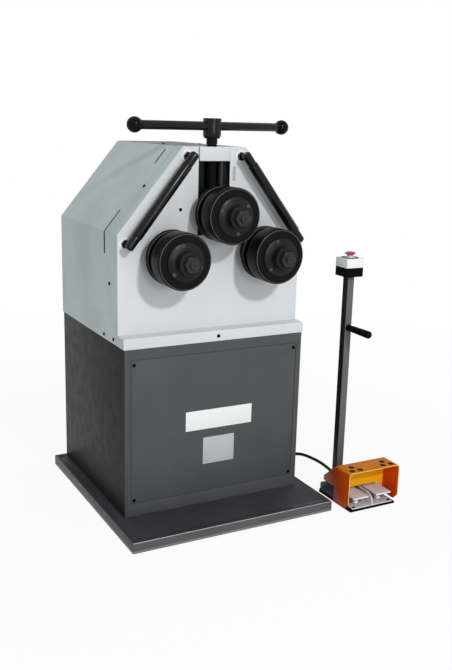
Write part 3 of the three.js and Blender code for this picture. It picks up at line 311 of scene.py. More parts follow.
# The hood's one orange paint in lit and shaded copies: painted light on the roof and the inner back wall,
# painted shade on the sides and inner sides, a painted highlight on the front rim.
HOOD_ROOF_LIT = Finish("hood_roof_painted_light", "hood_paint", (214, 124, 12), 0.4, specular=0.06, vary=0.12,
                   vary_scale=16.0)
HOOD_SIDE_SHADE = Finish("hood_side_painted_shade", "hood_paint", (196, 76, 16), 0.4, specular=0.06, vary=0.1, vary_scale=12.0)
HOOD_INSIDE_LIT = Finish("hood_inside_painted_light", "hood_paint", (255, 178, 6), 0.45, specular=0.15, vary=0.06)
HOOD_WALL_SHADE = Finish("hood_wall_painted_shade", "hood_paint", (220, 76, 8), 0.45, specular=0.15, vary=0.1, vary_scale=14.0)
HOOD_RIM_HIGHLIGHT = Finish("hood_rim_painted_highlight", "hood_paint", (252, 196, 92), 0.35, vary=0.08)
PEDAL_METAL = Finish("pedal_metal", "pedal_metal", (208, 214, 228), 0.45, specular=0.3, vary=0.05,
                     vary_scale=40.0, grain=Grain.BRUSHED, grain_scale=900.0, grain_depth=0.00001)
# Near white for the springs, and for the forward faces of pedals and tread plate, where it is partly bare
# metal edge, partly painted highlight.
PEDAL_EDGE = Finish("pedal_edge", "pedal_metal", (244, 244, 246), 0.35, vary=0.03)
# The tread plate's metal, made lighter partly as painted light, since the plate lies in the shade of the
# pedals and the hood.
TREAD_METAL = Finish("tread_metal", "pedal_metal", (198, 195, 199), 0.45, specular=0.3, vary=0.12,
                     vary_scale=50.0, grain=Grain.BRUSHED, grain_scale=900.0, grain_depth=0.00001)
WHITE_PLASTIC = Finish("white_plastic", "white_plastic", (240, 242, 243), 0.4, specular=0.3, vary=0.015,
                       grain=Grain.CAST, grain_scale=1400.0, grain_depth=0.000015)
BLACK_PLASTIC = Finish("black_plastic", "black_plastic", (11, 11, 12), 0.45, specular=0.03, vary=0.15,
                       grain=Grain.CAST, grain_scale=1300.0, grain_depth=0.00001)
KNOB_PLASTIC = Finish("knob_plastic", "black_plastic", (12, 12, 13), 0.14, specular=0.08, vary=0.05,
                      grain_depth=0.000004)
ENCLOSURE = Finish("enclosure_grey", "grey_plastic", (150, 154, 154), 0.5)
RED_PLASTIC = Finish("red_plastic", "red_plastic", (176, 26, 58), 0.28, coat=0.1, vary=0.1, vary_scale=90.0,
                     grain_depth=0.000005)
RING_BROWN = Finish("ring_brown", "black_plastic", (74, 54, 52), 0.4, specular=0.2, vary=0.15,
                    vary_scale=60.0)
POST_PAINT = Finish("post_paint", "post_paint", (98, 99, 101), 0.4, specular=0.15, vary=0.06)
# Painted shade: a dark copy of the post's paint for its side faces.
POST_SIDE_SHADE = Finish("post_side_painted_shade", "post_paint", (34, 34, 37), 0.4, specular=0.08, vary=0.06)
CABLE_SHEATH = Finish("cable_sheath", "cable_rubber", (16, 16, 17), 0.5, specular=0.1, grain=Grain.CAST,
                      grain_scale=1200.0, grain_depth=0.00002)
PLATE_WHITE = Finish("plate_white", "white_plastic", (244, 245, 246), 0.4, specular=0.3, vary=0.01)
PLATE_SILVER = Finish("plate_silver", "pedal_metal", (186, 188, 192), 0.4, metallic=0.1, vary=0.06,
                      grain=Grain.BRUSHED, grain_scale=1600.0, grain_depth=0.000008)
DEEP_BLACK = Finish("deep_black", "black_plastic", (8, 8, 8), 0.5, specular=0.03, vary=0.1)

NODE_FINISHES = {
    "control_box": ENCLOSURE, "drive_motor": MOTOR_PAINT, "gearbox": CASTING, "rear_frame": CASTING,
    "carriage_block": SLOT_BLACK, "front_frame_plate": SLOT_BLACK, "pinion_shaft": BRIGHT,
    "left_drive_gear": BRIGHT, "right_drive_gear": BRIGHT,
}


# Modelling helpers

def link_new(name: str, data: bpy.types.ID) -> Object:
    """Makes an object of its data and links it to the scene.

    Args:
        name: The object's name.
        data: Its mesh, curve, lamp or camera.

    Returns:
        The object.
    """
    thing = bpy.data.objects.new(name, data)
    bpy.context.scene.collection.objects.link(thing)
    return thing


def keep_piece(mesh: BMesh, name: str, finish: Finish, node: str = "", body: str = MACHINE,
               sharp: float = 32.0) -> Object:
    """Makes a finished piece of a bmesh and sets it on its body.

    Args:
        mesh: The bmesh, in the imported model's frame. It is freed.
        name: The piece's name.
        finish: Its finish.
        node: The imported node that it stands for, if any.
        body: The body that it rides on.
        sharp: Edges steeper than this many degrees stay sharp.

    Returns:
        The object.
    """
    bmesh.ops.recalc_face_normals(mesh, faces=mesh.faces[:])
    data = bpy.data.meshes.new(name)
    mesh.to_mesh(data)
    mesh.free()
    data.shade_smooth()
    data.set_sharp_from_angle(angle=math.radians(sharp))
    data.materials.append(finish.material())
    piece = link_new(name, data)
    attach(piece, body)
    if node:
        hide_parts(node)
    log.info("%s: %d faces on %s", name, len(data.polygons), body)
    return piece


def paint_faces(piece: Object, choose: Callable[[Vector, Vector], int], *finishes: Finish) -> None:
    """Gives some faces of a piece another finish, by where they are and the way they face.

    Args:
        piece: The piece, which has one finish.
        choose: Gives 0 for the first finish, 1 for the next and so on, from a face's middle and normal.
        *finishes: The further finishes.
    """
    for finish in finishes:
        piece.data.materials.append(finish.material())
    for face in piece.data.polygons:
        face.material_index = choose(face.center, face.normal)


def centre_of(node: str, axis: Vector = ORIGIN) -> Vector:
    """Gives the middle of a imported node's box.

    Args:
        node: The node's name.
        axis: If given, the middle is moved along this axis to where its coordinate is 0.

    Returns:
        The point.
    """
    low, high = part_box(node)
    middle = (low + high) / 2
    return middle - axis * middle.dot(axis)


def arc(radius: float, sweep: float, steps: int) -> Profile:
    """Gives sine and cosine, times a radius, of evenly spaced angles from 0 to the sweep."""
    angles = [sweep * step / steps for step in range(steps + 1)]
    return [(radius * math.sin(angle), radius * math.cos(angle)) for angle in angles]


def tube(inner: float, outer: float, low: float, high: float) -> list[Pair]:
    """Gives the outline of a tube, or of a rod where its inner radius is 0."""
    return [(inner, low), (outer, low), (outer, high), (inner, high)]


def merge(*parts: BMesh) -> BMesh:
    """Puts several bmeshes into the first one.

    Args:
        *parts: The bmeshes. All but the first are freed.

    Returns:
        The first bmesh with the others in it.
    """
    for part in parts[1:]:
        data = bpy.data.meshes.new("part")
        part.to_mesh(data)
        part.free()
        parts[0].from_mesh(data)
        bpy.data.meshes.remove(data)
    return parts[0]


def turn_to(axis: Vector, centre: Vector) -> Matrix:
    """Gives the placement that takes the local Z axis to an axis through a point."""
    return Matrix.Translation(centre) @ Z.rotation_difference(axis.normalized()).to_matrix().to_4x4()


def soften(mesh: BMesh, parts: Sequence, width: float, steps: int, affect: str = "EDGES") -> None:
    """Rounds edges, or the corners of an outline, as far as a width reaches."""
    bmesh.ops.bevel(mesh, geom=parts, offset=width, offset_type="OFFSET", segments=steps, profile=0.5,
                    affect=affect, clamp_overlap=True, material=-1)


def spun(profile: Profile, axis: Vector, centre: Vector, corner: float = 0.0, closed: bool = False,
         steps: int = 96) -> BMesh:
    """Turns a profile round an axis.

    Args:
        profile: Points as radius and distance along the axis.
        axis: The axis.
        centre: The point of the axis where the distance is 0.
        corner: The radius of the rounded corners.
        closed: Whether the profile closes on itself, as round a bore.
        steps: Steps in the full turn.

    Returns:
        The turned solid.
    """
    mesh = bmesh.new()
    points = [mesh.verts.new((radius, 0, along)) for radius, along in profile]
    for pair in list(zip(points, points[1:])) + ([(points[-1], points[0])] if closed else []):
        mesh.edges.new(pair)
    if corner:
        soften(mesh, points if closed else points[1:-1], corner, 3, "VERTICES")
    bmesh.ops.spin(mesh, geom=mesh.verts[:] + mesh.edges[:], cent=(0, 0, 0), axis=Z, dvec=(0, 0, 0),
                   angle=2 * math.pi, steps=steps, use_merge=True, use_duplicate=False)
    bmesh.ops.remove_doubles(mesh, verts=mesh.verts[:], dist=1e-6)
    bmesh.ops.transform(mesh, matrix=turn_to(axis, centre), verts=mesh.verts[:])
    return mesh


def block(low: Sequence[float], high: Sequence[float], edge: float = 0.0) -> BMesh:
    """Makes a block.

    Args:
        low: Its lowest corner.
        high: Its highest corner.
        edge: The radius of its rounded edges.

    Returns:
        The block.
    """
    mesh = bmesh.new()
    low, high = Vector(low), Vector(high)
    bmesh.ops.create_cube(mesh, size=1.0)
    bmesh.ops.scale(mesh, vec=high - low, verts=mesh.verts[:])
    bmesh.ops.translate(mesh, vec=(low + high) / 2, verts=mesh.verts[:])
    if edge:
        soften(mesh, mesh.edges[:], edge, 3)
    return mesh


def prism(sides: int, radius: float, height: float, axis: Vector, centre: Vector,
          turn: float = 0.0) -> BMesh:
    """Makes a regular prism.

    Args:
        sides: How many sides it has.
        radius: The distance from its axis to its corners.
        height: Its length along the axis.
        axis: The axis.
        centre: The middle of its lower end.
        turn: How far it is turned round the axis, in radians.

    Returns:
        The prism.
    """
    mesh = bmesh.new()
    bmesh.ops.create_cone(mesh, cap_ends=True, cap_tris=False, segments=sides, radius1=radius,
                          radius2=radius, depth=height)
    bmesh.ops.translate(mesh, vec=(0, 0, height / 2), verts=mesh.verts[:])
    placement = turn_to(axis, centre) @ Matrix.Rotation(turn, 4, "Z")
    bmesh.ops.transform(mesh, matrix=placement, verts=mesh.verts[:])
    return mesh


def carve(mesh: BMesh, tool: BMesh, operation: str = "DIFFERENCE") -> BMesh:
    """Cuts a solid by another, or keeps what they share.

    Args:
        mesh: The solid. It is freed.
        tool: The other solid. It is freed.
        operation: DIFFERENCE or INTERSECT.

    Returns:
        The result.
    """
    objects = []
    for part in (mesh, tool):
        bmesh.ops.recalc_face_normals(part, faces=part.faces[:])
        data = bpy.data.meshes.new("carving")
        part.to_mesh(data)
        part.free()
        objects.append(link_new("carving", data))
    modifier = objects[0].modifiers.new("carve", "BOOLEAN")
    modifier.operation, modifier.object, modifier.solver = operation, objects[1], "EXACT"
    cut = objects[0].evaluated_get(bpy.context.evaluated_depsgraph_get())
    shape = bpy.data.meshes.new_from_object(cut)
    result = bmesh.new()
    result.from_mesh(shape)
    for data in (shape, *(thing.data for thing in objects)):
        bpy.data.meshes.remove(data)
    return result


def hexagon_nut(radius: float, height: float, axis: Vector, seat: Vector, rim: Profile, turn: float = 0.0,
                steps: int = 96) -> BMesh:
    """Makes a hexagon nut on a seat, with its corners turned down to the outline of a rim."""
    shape = spun([(0, rim[0][1]), *rim, (0, rim[-1][1])], axis, seat, steps=steps)
    return carve(prism(6, radius, height, axis, seat, turn), shape, "INTERSECT")


def from_node(node: str) -> BMesh:
    """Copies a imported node's surface with its flat faces made whole.

    Args:
        node: The node's name.

    Returns:
        The copy.
    """
    mesh = bmesh.new()
    mesh.from_mesh(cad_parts[node].data)
    bmesh.ops.remove_doubles(mesh, verts=mesh.verts[:], dist=1e-6)
    bmesh.ops.dissolve_limit(mesh, angle_limit=math.radians(1), use_dissolve_boundaries=False,
                             verts=mesh.verts[:], edges=mesh.edges[:])
    return mesh


def soften_sharp(mesh: BMesh, width: float, steps: int = 2, pick: EdgeTest = lambda edge: True) -> BMesh:
    """Rounds the sharp edges of a solid.

    Args:
        mesh: The solid.
        width: How far the rounding reaches from an edge.
        steps: Steps round each edge.
        pick: Which of the sharp edges are rounded.

    Returns:
        The same solid.
    """
    mesh.normal_update()
    soften(mesh, [e for e in mesh.edges if len(e.link_faces) == 2
                  and e.calc_face_angle(0.0) > math.radians(20) and pick(e)], width, steps)
    return mesh


def refine(node: str, name: str, finish: Finish, *roundings: tuple, sharp: float = 32.0) -> Object:
    """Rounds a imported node's edges and keeps it as a finished piece.

    Args:
        node: The node's name.
        name: The piece's name.
        finish: Its finish.
        *roundings: Each one's width and steps, and a test unless it is for every sharp edge.
        sharp: Edges steeper than this many degrees stay sharp.

    Returns:
        The piece.
    """
    mesh = from_node(node)
    for rounding in roundings:
        soften_sharp(mesh, *rounding)
    return keep_piece(mesh, name, finish, node, sharp=sharp)


def middle_of(edge: BMEdge) -> Vector:
    """Gives the middle of an edge."""
    return (edge.verts[0].co + edge.verts[1].co) / 2


def runs_along(axis: Vector, least: float) -> EdgeTest:
    """Gives a test for edges that run along an axis.

    Args:
        axis: The axis.
        least: The least length of an edge that counts.

    Returns:
        The test.
    """
    def test(edge: BMEdge) -> bool:
        """Tells whether one edge counts."""
        way = edge.verts[1].co - edge.verts[0].co
        return way.length > least and abs(way.normalized().dot(axis)) > 0.999

    return test


@dataclass(frozen=True)
class ButtonScrew:
    """A round-headed screw with a hexagon socket."""

    radius: float = 0.0055
    height: float = 0.003
    socket: float = 0.0024
    flare: float = 1.08  # of the socket's mouth
    depth: float = 0.0018
    dome: Profile = ((0.62, 0.96), (0.9, 0.62), (1.0, 0.2), (1.0, 0.0))  # shares of radius and height

    def heads(self, places: Iterable[tuple[Vector, Vector]]) -> BMesh:
        """Makes the heads of several screws.

        Args:
            places: The seat of each head and the way that it faces.

        Returns:
            The heads.
        """
        floor, sixth = self.height - self.depth, math.pi / 3
        profile = [(0, floor), (self.socket, floor), (self.socket * self.flare, self.height),
                   *((self.radius * across, self.height * up) for across, up in self.dome), (0, 0)]
        parts = []
        for seat, out in places:
            head = spun(profile, Z, ORIGIN, steps=24)
            for vertex in head.verts:
                flat = vertex.co.xy
                if 1e-6 < flat.length < self.socket * 1.2:
                    turn = math.atan2(flat.y, flat.x) % sixth - sixth / 2
                    vertex.co.xy = flat * (math.cos(sixth / 2) / math.cos(turn))
            bmesh.ops.transform(head, matrix=turn_to(out, seat), verts=head.verts[:])
            parts.append(head)
        return merge(*parts)


SCREW = ButtonScrew()
PANEL_SCREW = ButtonScrew(0.006, 0.0032)
COVER_SCREW = ButtonScrew(0.006, 0.003)


# The cable of the foot switch

@dataclass
class PedalCable:
    """The cable from the cabinet's gland through its stored coil to the foot switch."""

    diameter: float = 0.012
    front: float = -0.2235  # of the cabinet, which the route is measured from
    coil_radius: float = 0.074
    coil_pitch: float = 0.0127
    coil_middle: Pair = (0.475, 0.386)
    coil_rest: float = 0.0062
    layer_turns: float = 1.25
    drop_turns: float = 0.5
    loop_steps: int = 24
    entry: Sequence[Point] = (
        (0.3436, 0.312, 0.07), (0.355, 0.312, 0.07), (0.3662, 0.312, 0.07), (0.3794, 0.312, 0.0681),
        (0.3909, 0.312, 0.0631), (0.4013, 0.312, 0.0547), (0.4086, 0.312, 0.0445), (0.4159, 0.312, 0.0342),
        (0.4263, 0.312, 0.0258), (0.4378, 0.312, 0.0208), (0.451, 0.312, 0.0189),
    )
    run: Sequence[Point] = (
        (0.5, 0.312, 0.0062), (0.512, 0.3117, 0.0062), (0.524, 0.31, 0.0062), (0.535, 0.3056, 0.0062),
        (0.545, 0.297, 0.0062), (0.553, 0.283, 0.0062), (0.559, 0.262, 0.0062), (0.564, 0.235, 0.0062),
        (0.567, 0.206, 0.0062), (0.567, 0.178, 0.0062), (0.5644, 0.15, 0.0062), (0.5606, 0.121, 0.0062),
        (0.5576, 0.097, 0.0062), (0.5562, 0.082, 0.0062), (0.556, 0.07, 0.0062), (0.556, 0.058, 0.0077),
        (0.556, 0.046, 0.0126), (0.556, 0.034, 0.0175), (0.556, 0.022, 0.019), (0.556, 0.0103, 0.019),
    )

    def coil(self) -> list[Vector]:
        """Works out the coil's turns: in along the upper layer, down, and out along the floor.

        Returns:
            The points of the coil's centreline.
        """
        turns = 2 * self.layer_turns + self.drop_turns
        across, along = self.coil_middle
        points = []
        for step in range(round(turns * self.loop_steps) + 1):
            turn = step / self.loop_steps
            drop = min(1.0, max(0.0, (turn - self.layer_turns) / self.drop_turns))
            radius = self.coil_radius - self.coil_pitch * min(turn, turns - turn)
            angle = -math.pi / 2 + turn * 2 * math.pi
            points.append(Vector((
                across + radius * math.cos(angle), along + self.front + radius * math.sin(angle),
                self.coil_rest + self.coil_pitch * (1 + math.cos(math.pi * drop)) / 2)))
        return points

    def build(self) -> None:
        entry, run = ([Vector(p) + Y * self.front for p in points] for points in (self.entry, self.run))
        route = entry + self.coil() + run
        curve = bpy.data.curves.new("pedal_cable", "CURVE")
        curve.dimensions = "3D"
        curve.bevel_depth = self.diameter / 2
        curve.bevel_resolution = 4
        curve.resolution_u = 6
        curve.use_fill_caps = True
        spline = curve.splines.new("BEZIER")
        spline.bezier_points.add(len(route) - 1)
        for point, place in zip(spline.bezier_points, route):
            point.co = place
            point.handle_left_type = point.handle_right_type = "AUTO"
        curve.materials.append(CABLE_SHEATH.material())
        cable = link_new("pedal_cable", curve)
        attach(cable, MACHINE)
        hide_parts("cable_entry", "cable_coil", "cable_run")


@dataclass
class CableGland:
    """The nut and the domed cap where the cable leaves the cabinet."""

    nut_radius: float = 0.015
    nut_height: float = 0.007
    chamfer: Pair = (0.002, 0.001)  # across and along
    cap_radius: float = 0.013
    cap_share: float = 0.6  # of the gland's length, where the cap begins to taper
    bore: float = 0.006
    lip: float = 0.0015
    corner: float = 0.0012

    def build(self) -> None:
        """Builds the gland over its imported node."""
        low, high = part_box("cable_gland")
        seat = centre_of("cable_gland", X) + X * low.x
        length, start = high.x - low.x, self.nut_height / 2
        across, along = self.chamfer
        rim = ((self.nut_radius, 0), (self.nut_radius, self.nut_height - along),
               (self.nut_radius - across, self.nut_height))
        nut = hexagon_nut(self.nut_radius, self.nut_height, X, seat, rim, steps=48)
        cap = spun([*tube(self.bore, self.cap_radius, start, length * self.cap_share)[:3],
                    (self.bore + self.lip, length), (self.bore, length)], X, seat, self.corner, True, 48)
        keep_piece(merge(nut, cap), "cable_gland_fine", BLACK_PLASTIC, "cable_gland")


# Base and cabinet

@dataclass
class BaseTray:
    """The folded tray that the machine stands on."""

    fold: float = 0.003
    edge: float = 0.0008
    # how far below the top the folds get the wear and painted highlight
    worn_reach: float = 0.004
    fold_rise: Pair = (0.3, 0.97)  # upward share of a normal on the rounded fold, from and to
    fold_lean: float = 0.2  # its least share forwards or sideways
    pad_inset: float = 0.026
    pad_half: float = 0.018
    pad_foot: float = 0.0004
    pad_drop: float = 0.006  # of its top, from the tray's
    pad_edge: float = 0.001

    def build(self) -> None:
        """Builds the tray with rounded folds and lays rubber pads under its anchor holes."""
        low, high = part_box("base_tray")

        def outer_fold(edge: BMEdge) -> bool:
            """Tells whether an edge is one of the tray's outer folds.

            Args:
                edge: The edge.

            Returns:
                True for an outer fold.
            """
            middle = middle_of(edge)
            near = [abs(middle.z - high.z)] + [abs(middle[axis] - corner[axis]) for axis in range(2)
                                               for corner in (low, high)]
            return sum(distance < TINY for distance in near) == 2

        def part(middle: Vector, normal: Vector) -> int:
            """Picks the tray's top, in painted shade, and the rounded fold along its front and sides, in
            wear and painted highlight.

            Args:
                middle: A face's middle.
                normal: The way it faces.

            Returns:
                1 for the fold in front, 3 for one at a side, 2 for the top, else 0.
            """
            steep, flat = self.fold_rise
            if middle.z > high.z - self.worn_reach and steep < normal.z < flat:
                if normal.y < -self.fold_lean:
                    return 1
                if abs(normal.x) > self.fold_lean:
                    return 3
            return 2 * int(normal.z >= flat)

        tray = refine("base_tray", "tray", TRAY_PAINT, (self.fold, 4, outer_fold), (self.edge, 2))
        # The front and side folds get wear and a painted highlight; the top gets painted shade.
        paint_faces(tray, part, TRAY_EDGE_WEAR_AND_HIGHLIGHT, TRAY_TOP_SHADE, EDGE_WEAR_AND_HIGHLIGHT)
        inset, half = self.pad_inset, self.pad_half
        pads = [block((x - half, y - half, self.pad_foot), (x + half, y + half, high.z - self.pad_drop),
                      self.pad_edge)
                for x in (low.x + inset, high.x - inset) for y in (low.y + inset, high.y - inset)]
        keep_piece(merge(*pads), "anchor_pads", DEEP_BLACK)


@dataclass
class Cabinet:
    """The cabinet with its two screwed panels and its bare plates."""

    fold: float = 0.003
    edge: float = 0.0007
    screw_inset: Point = (0.0095, 0.0105, 0.0155)  # from the panel's side, foot and top
    name_plate: Quad = (-0.1115, 0.1352, 0.3, 0.367)  # x from, to, z from, to
    data_plate: Quad = (-0.0465, 0.07, 0.176, 0.27)
    plate_thickness: float = 0.0008
    plate_sink: float = 0.0001
    plate_edge: float = 0.0003

    def build(self) -> None:
        """Builds the shell, the panels, the screws and the plates."""
        low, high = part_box("cabinet_shell")

        def upright_corner(edge: BMEdge) -> bool:
            """Tells whether an edge is an outer corner of the cabinet.

            Args:
                edge: The edge.

            Returns:
                True for an outer corner.
            """
            middle = middle_of(edge)
            return all(min(abs(middle[axis] - low[axis]), abs(middle[axis] - high[axis])) < TINY
                       for axis in range(2))

        cabinet = refine("cabinet_shell", "cabinet", CABINET_PAINT, (self.fold, 4, upright_corner),
                         (self.edge, 2))
        # The side faces get the painted shade.
        paint_faces(cabinet, lambda middle, normal: int(abs(normal.x) > SQUARE), CABINET_SIDE_SHADE)
        side, foot, top = self.screw_inset
        for node, out in (("front_panel", -Y), ("rear_panel", Y)):
            refine(node, f"{node}_fine", CABINET_PAINT, (self.edge, 3))
            low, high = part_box(node)
            face = low.y if out.y < 0 else high.y
            places = [(Vector((x, face, z)), out) for x in (low.x + side, high.x - side)
                      for z in (low.z + foot, high.z - top)]
            keep_piece(PANEL_SCREW.heads(places), f"{node}_screws", DEEP_BLACK)
        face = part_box("front_panel")[0].y
        for name, finish in (("name_plate", PLATE_WHITE), ("data_plate", PLATE_SILVER)):
            x0, x1, z0, z1 = getattr(self, name)
            plate = block((x0, face - self.plate_thickness, z0), (x1, face + self.plate_sink, z1),
                          self.plate_edge)
            keep_piece(plate, name, finish)


# Housing

@dataclass
class Housing:
    """The pale mask, the grey-green cover, the rear cover and what is fixed on them."""

    fold: float = 0.003
    mask_fold: float = 0.0018
    mask_depth: float = 0.04  # the least length of its folds
    cover_depth: float = 0.2
    return_reach: float = 0.04  # the least distance from the middle, times the normal's share
    slope_drop: float = 0.3  # of the foot of the slopes, from the mask's top
    edge: float = 0.0006
    mask_setback: float = 0.004  # of the mask's face behind the bridge's
    mask_screw: Pair = (-0.1168, 1.022)  # x, z
    ledge_screw: Pair = (0.0024, 0.6147)
    side_screws: Profile = ((-0.1365, 0.614), (-0.0515, 0.613), (-0.1035, 0.789))  # y, z
    slope_screw: Point = (0.2123, -0.1073, 1.0916)
    slope_way: Point = (0.7745, 0.0, 0.6326)
    roof_screw: Point = (0.067, 0.0745, 1.216)
    ring_radius: float = 0.0078
    ring_height: float = 0.0006
    strip: Quad = (0.066, 0.077, 1.11, 1.155)  # x from, to, z from, to
    strip_height: float = 0.0006
    strip_sink: float = 0.0001
    strip_edge: float = 0.0002
    mark_count: int = 10
    mark_half: float = 0.0003
    mark_lengths: Pair = (0.007, 0.004)  # each fifth one, the others
    mark_insets: Pair = (0.001, 0.003)  # from the strip's side and ends
    mark_depths: Pair = (0.0008, 0.0004)  # in front of the mask

    def build(self) -> None:
        """Builds the sheet-metal pieces and dresses them."""
        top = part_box("front_mask")[1].z

        def folded_back(middle: Vector, normal: Vector) -> int:
            """Picks the outside of the mask's returns at its sides, slopes and roof."""
            return int(normal.x * middle.x > self.return_reach
                       or (normal.z > TOWARDS and middle.z > top - self.slope_drop))

        folds = (self.mask_fold, 3, runs_along(Y, self.mask_depth))
        mask = refine("front_mask", "mask", MASK_PAINT, folds, (self.edge, 2))
        # The mask's returns get the cover's paint, which is partly painted shade.
        paint_faces(mask, folded_back, COVER_PAINT)
        folds = (self.fold, 4, runs_along(Y, self.cover_depth))
        cover = refine("housing_cover", "cover", COVER_PAINT, folds)
        # The cover's top faces get the painted reflection.
        paint_faces(cover, lambda middle, normal: int(normal.z > SQUARE), ROOF_PAINTED_REFLECTION)
        refine("rear_cover", "rear_cover_fine", COVER_PAINT, (self.edge, 2))
        self.screws()
        self.scale()

    @property
    def face(self) -> float:
        """The y of the mask's face."""
        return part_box("bridge_block")[0].y + self.mask_setback

    def screws(self) -> None:
        """Sets the screws of the mask, its ledge and the cover, and the ring round the mask's screw."""
        low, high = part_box("front_mask")
        seat = Vector((self.mask_screw[0], self.face, self.mask_screw[1]))
        places = [(seat, -Y), (Vector((self.ledge_screw[0], low.y, self.ledge_screw[1])), -Y)]
        for side, edge in ((-1, low.x), (1, high.x)):
            mirror = Matrix.Diagonal((side, 1, 1))
            places += [(Vector((edge, y, z)), X * side) for y, z in self.side_screws]
            places += [(mirror @ Vector(self.slope_screw), mirror @ Vector(self.slope_way)),
                       (mirror @ Vector(self.roof_screw), Z)]
        keep_piece(COVER_SCREW.heads(places), "housing_screws", DEEP_BLACK)
        outline = tube(COVER_SCREW.radius, self.ring_radius, 0.0, self.ring_height)
        ring = spun(outline, -Y, seat, closed=True, steps=32)
        keep_piece(ring, "mask_washers", PLATE_WHITE)

    def scale(self) -> None:
        """Sets the short scale beside the slot."""
        x0, x1, z0, z1 = self.strip
        strip = block((x0, self.face - self.strip_height, z0), (x1, self.face + self.strip_sink, z1),
                      self.strip_edge)
        keep_piece(strip, "scale_strip", PLATE_SILVER)
        (inset, margin), (front, back), half = self.mark_insets, self.mark_depths, self.mark_half
        marks = []
        for mark in range(self.mark_count + 1):
            z = z0 + margin + (z1 - z0 - 2 * margin) * mark / self.mark_count
            length = self.mark_lengths[mark % 5 > 0]
            marks.append(block((x0 + inset, self.face - front, z - half),
                               (x0 + inset + length, self.face - back, z + half)))
        keep_piece(merge(*marks), "scale_marks", DEEP_BLACK)


# Slot, bridge, lead screw and handle

@dataclass
class SlotParts:
    """The bridge over the slot and the strips that guide the carriage."""

    edge: float = 0.0012

    def build(self) -> None:
        """Builds the bridge and the guide strips."""
        refine("bridge_block", "bridge", MASK_PAINT, (self.edge, 3))
        for side in SIDES:
            strip = refine(f"{side}_guide_strip", f"{side}_strip", OXIDE, (self.edge, 2))
            paint_faces(strip, lambda middle, normal: int(normal.x < -TOWARDS), STRIP_EDGE)


@dataclass
class ScrewAndHandle:
    """The lead screw with its thread, the hub, the cross bar and its knobs."""

    body: str = "screw"
    collar_radius: float = 0.022
    collar_height: float = 0.01
    root_radius: float = 0.0152
    thread_radius: float = 0.0174
    thread_start: float = 0.006  # above the collar
    pitch: float = 0.006
    ridge: Point = (0.0012, 0.0028, 0.004)  # of each turn, where the groove is reached, ends and is left
    thread_end: float = 0.034  # of the thread, below the screw's top
    neck_radius: float = 0.011
    neck_height: float = 0.022
    hub_radius: float = 0.029
    hub_foot: float = 0.021
    hub_taper: float = 0.018
    hub_sink: Pair = (0.012, 0.001)  # radius and depth of the hollow in its top
    hub_corner: float = 0.0012
    bar_radius: float = 0.0138
    bar_corner: float = 0.001
    bar_sink: float = 0.008  # of the bar's ends, from the knobs' middles
    knob_radius: float = 0.024
    knob_neck: Pair = (0.0145, 0.955)  # radius, and place as a share of the knob's radius

    def build(self) -> None:
        """Builds the screw, the hub, the cross bar and the knobs on its ends."""
        foot = centre_of("lead_screw", Z)
        self.screw(foot)
        low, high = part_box("handle_hub")
        spare, taper = self.hub_radius - self.hub_foot, self.hub_taper
        swell = [(self.hub_foot + spare * across, low.z + taper * (1 - up))
                 for across, up in arc(1.0, math.pi / 2, 8)]
        hollow, depth = self.hub_sink
        hub = spun([(0, low.z), *swell, (self.hub_radius, high.z), (hollow, high.z),
                    (hollow, high.z - depth), (0, high.z - depth)], Z, foot, self.hub_corner)
        keep_piece(hub, "hub", BAR_BLACK, "handle_hub", self.body)
        middles = {side: centre_of(f"{side}_knob") for side in SIDES}
        centre = (middles["left"] + middles["right"]) / 2
        reach = middles["right"] - middles["left"]
        half = reach.length / 2 - self.bar_sink
        bar = spun(tube(0, self.bar_radius, -half, half), reach.normalized(), centre, self.bar_corner)
        keep_piece(bar, "bar", BAR_BLACK, "cross_bar", self.body)
        neck, share = self.knob_neck
        ball = [(across, -along) for across, along in arc(self.knob_radius, math.pi * 0.9, 36)]
        for side, middle in middles.items():
            knob = spun([*ball, (neck, self.knob_radius * share), (0, self.knob_radius * share)],
                        (centre - middle).normalized(), middle, steps=64)
            keep_piece(knob, f"{side}_ball", KNOB_PLASTIC, f"{side}_knob", self.body)

    def screw(self, foot: Vector) -> None:
        """Builds the lead screw with trapezoidal ridges.

        Args:
            foot: The point of its axis at the floor.
        """
        low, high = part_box("lead_screw")
        collar, neck = low.z + self.collar_height, high.z - self.neck_height
        z, end = collar + self.thread_start, high.z - self.thread_end
        profile = [(0, low.z), (self.collar_radius, low.z), (self.collar_radius, collar),
                   (self.thread_radius, collar), (self.thread_radius, z)]
        begin, finish, leave = self.ridge
        while z + self.pitch < end:
            profile += [(self.root_radius, z + begin), (self.root_radius, z + finish),
                        (self.thread_radius, z + leave), (self.thread_radius, z + self.pitch)]
            z += self.pitch
        profile += [(self.thread_radius, neck), (self.neck_radius, neck), (self.neck_radius, high.z),
                    (0, high.z)]
        keep_piece(spun(profile, Z, foot, steps=64), "screw_thread", SLOT_BLACK, "lead_screw", self.body)


# Rolls

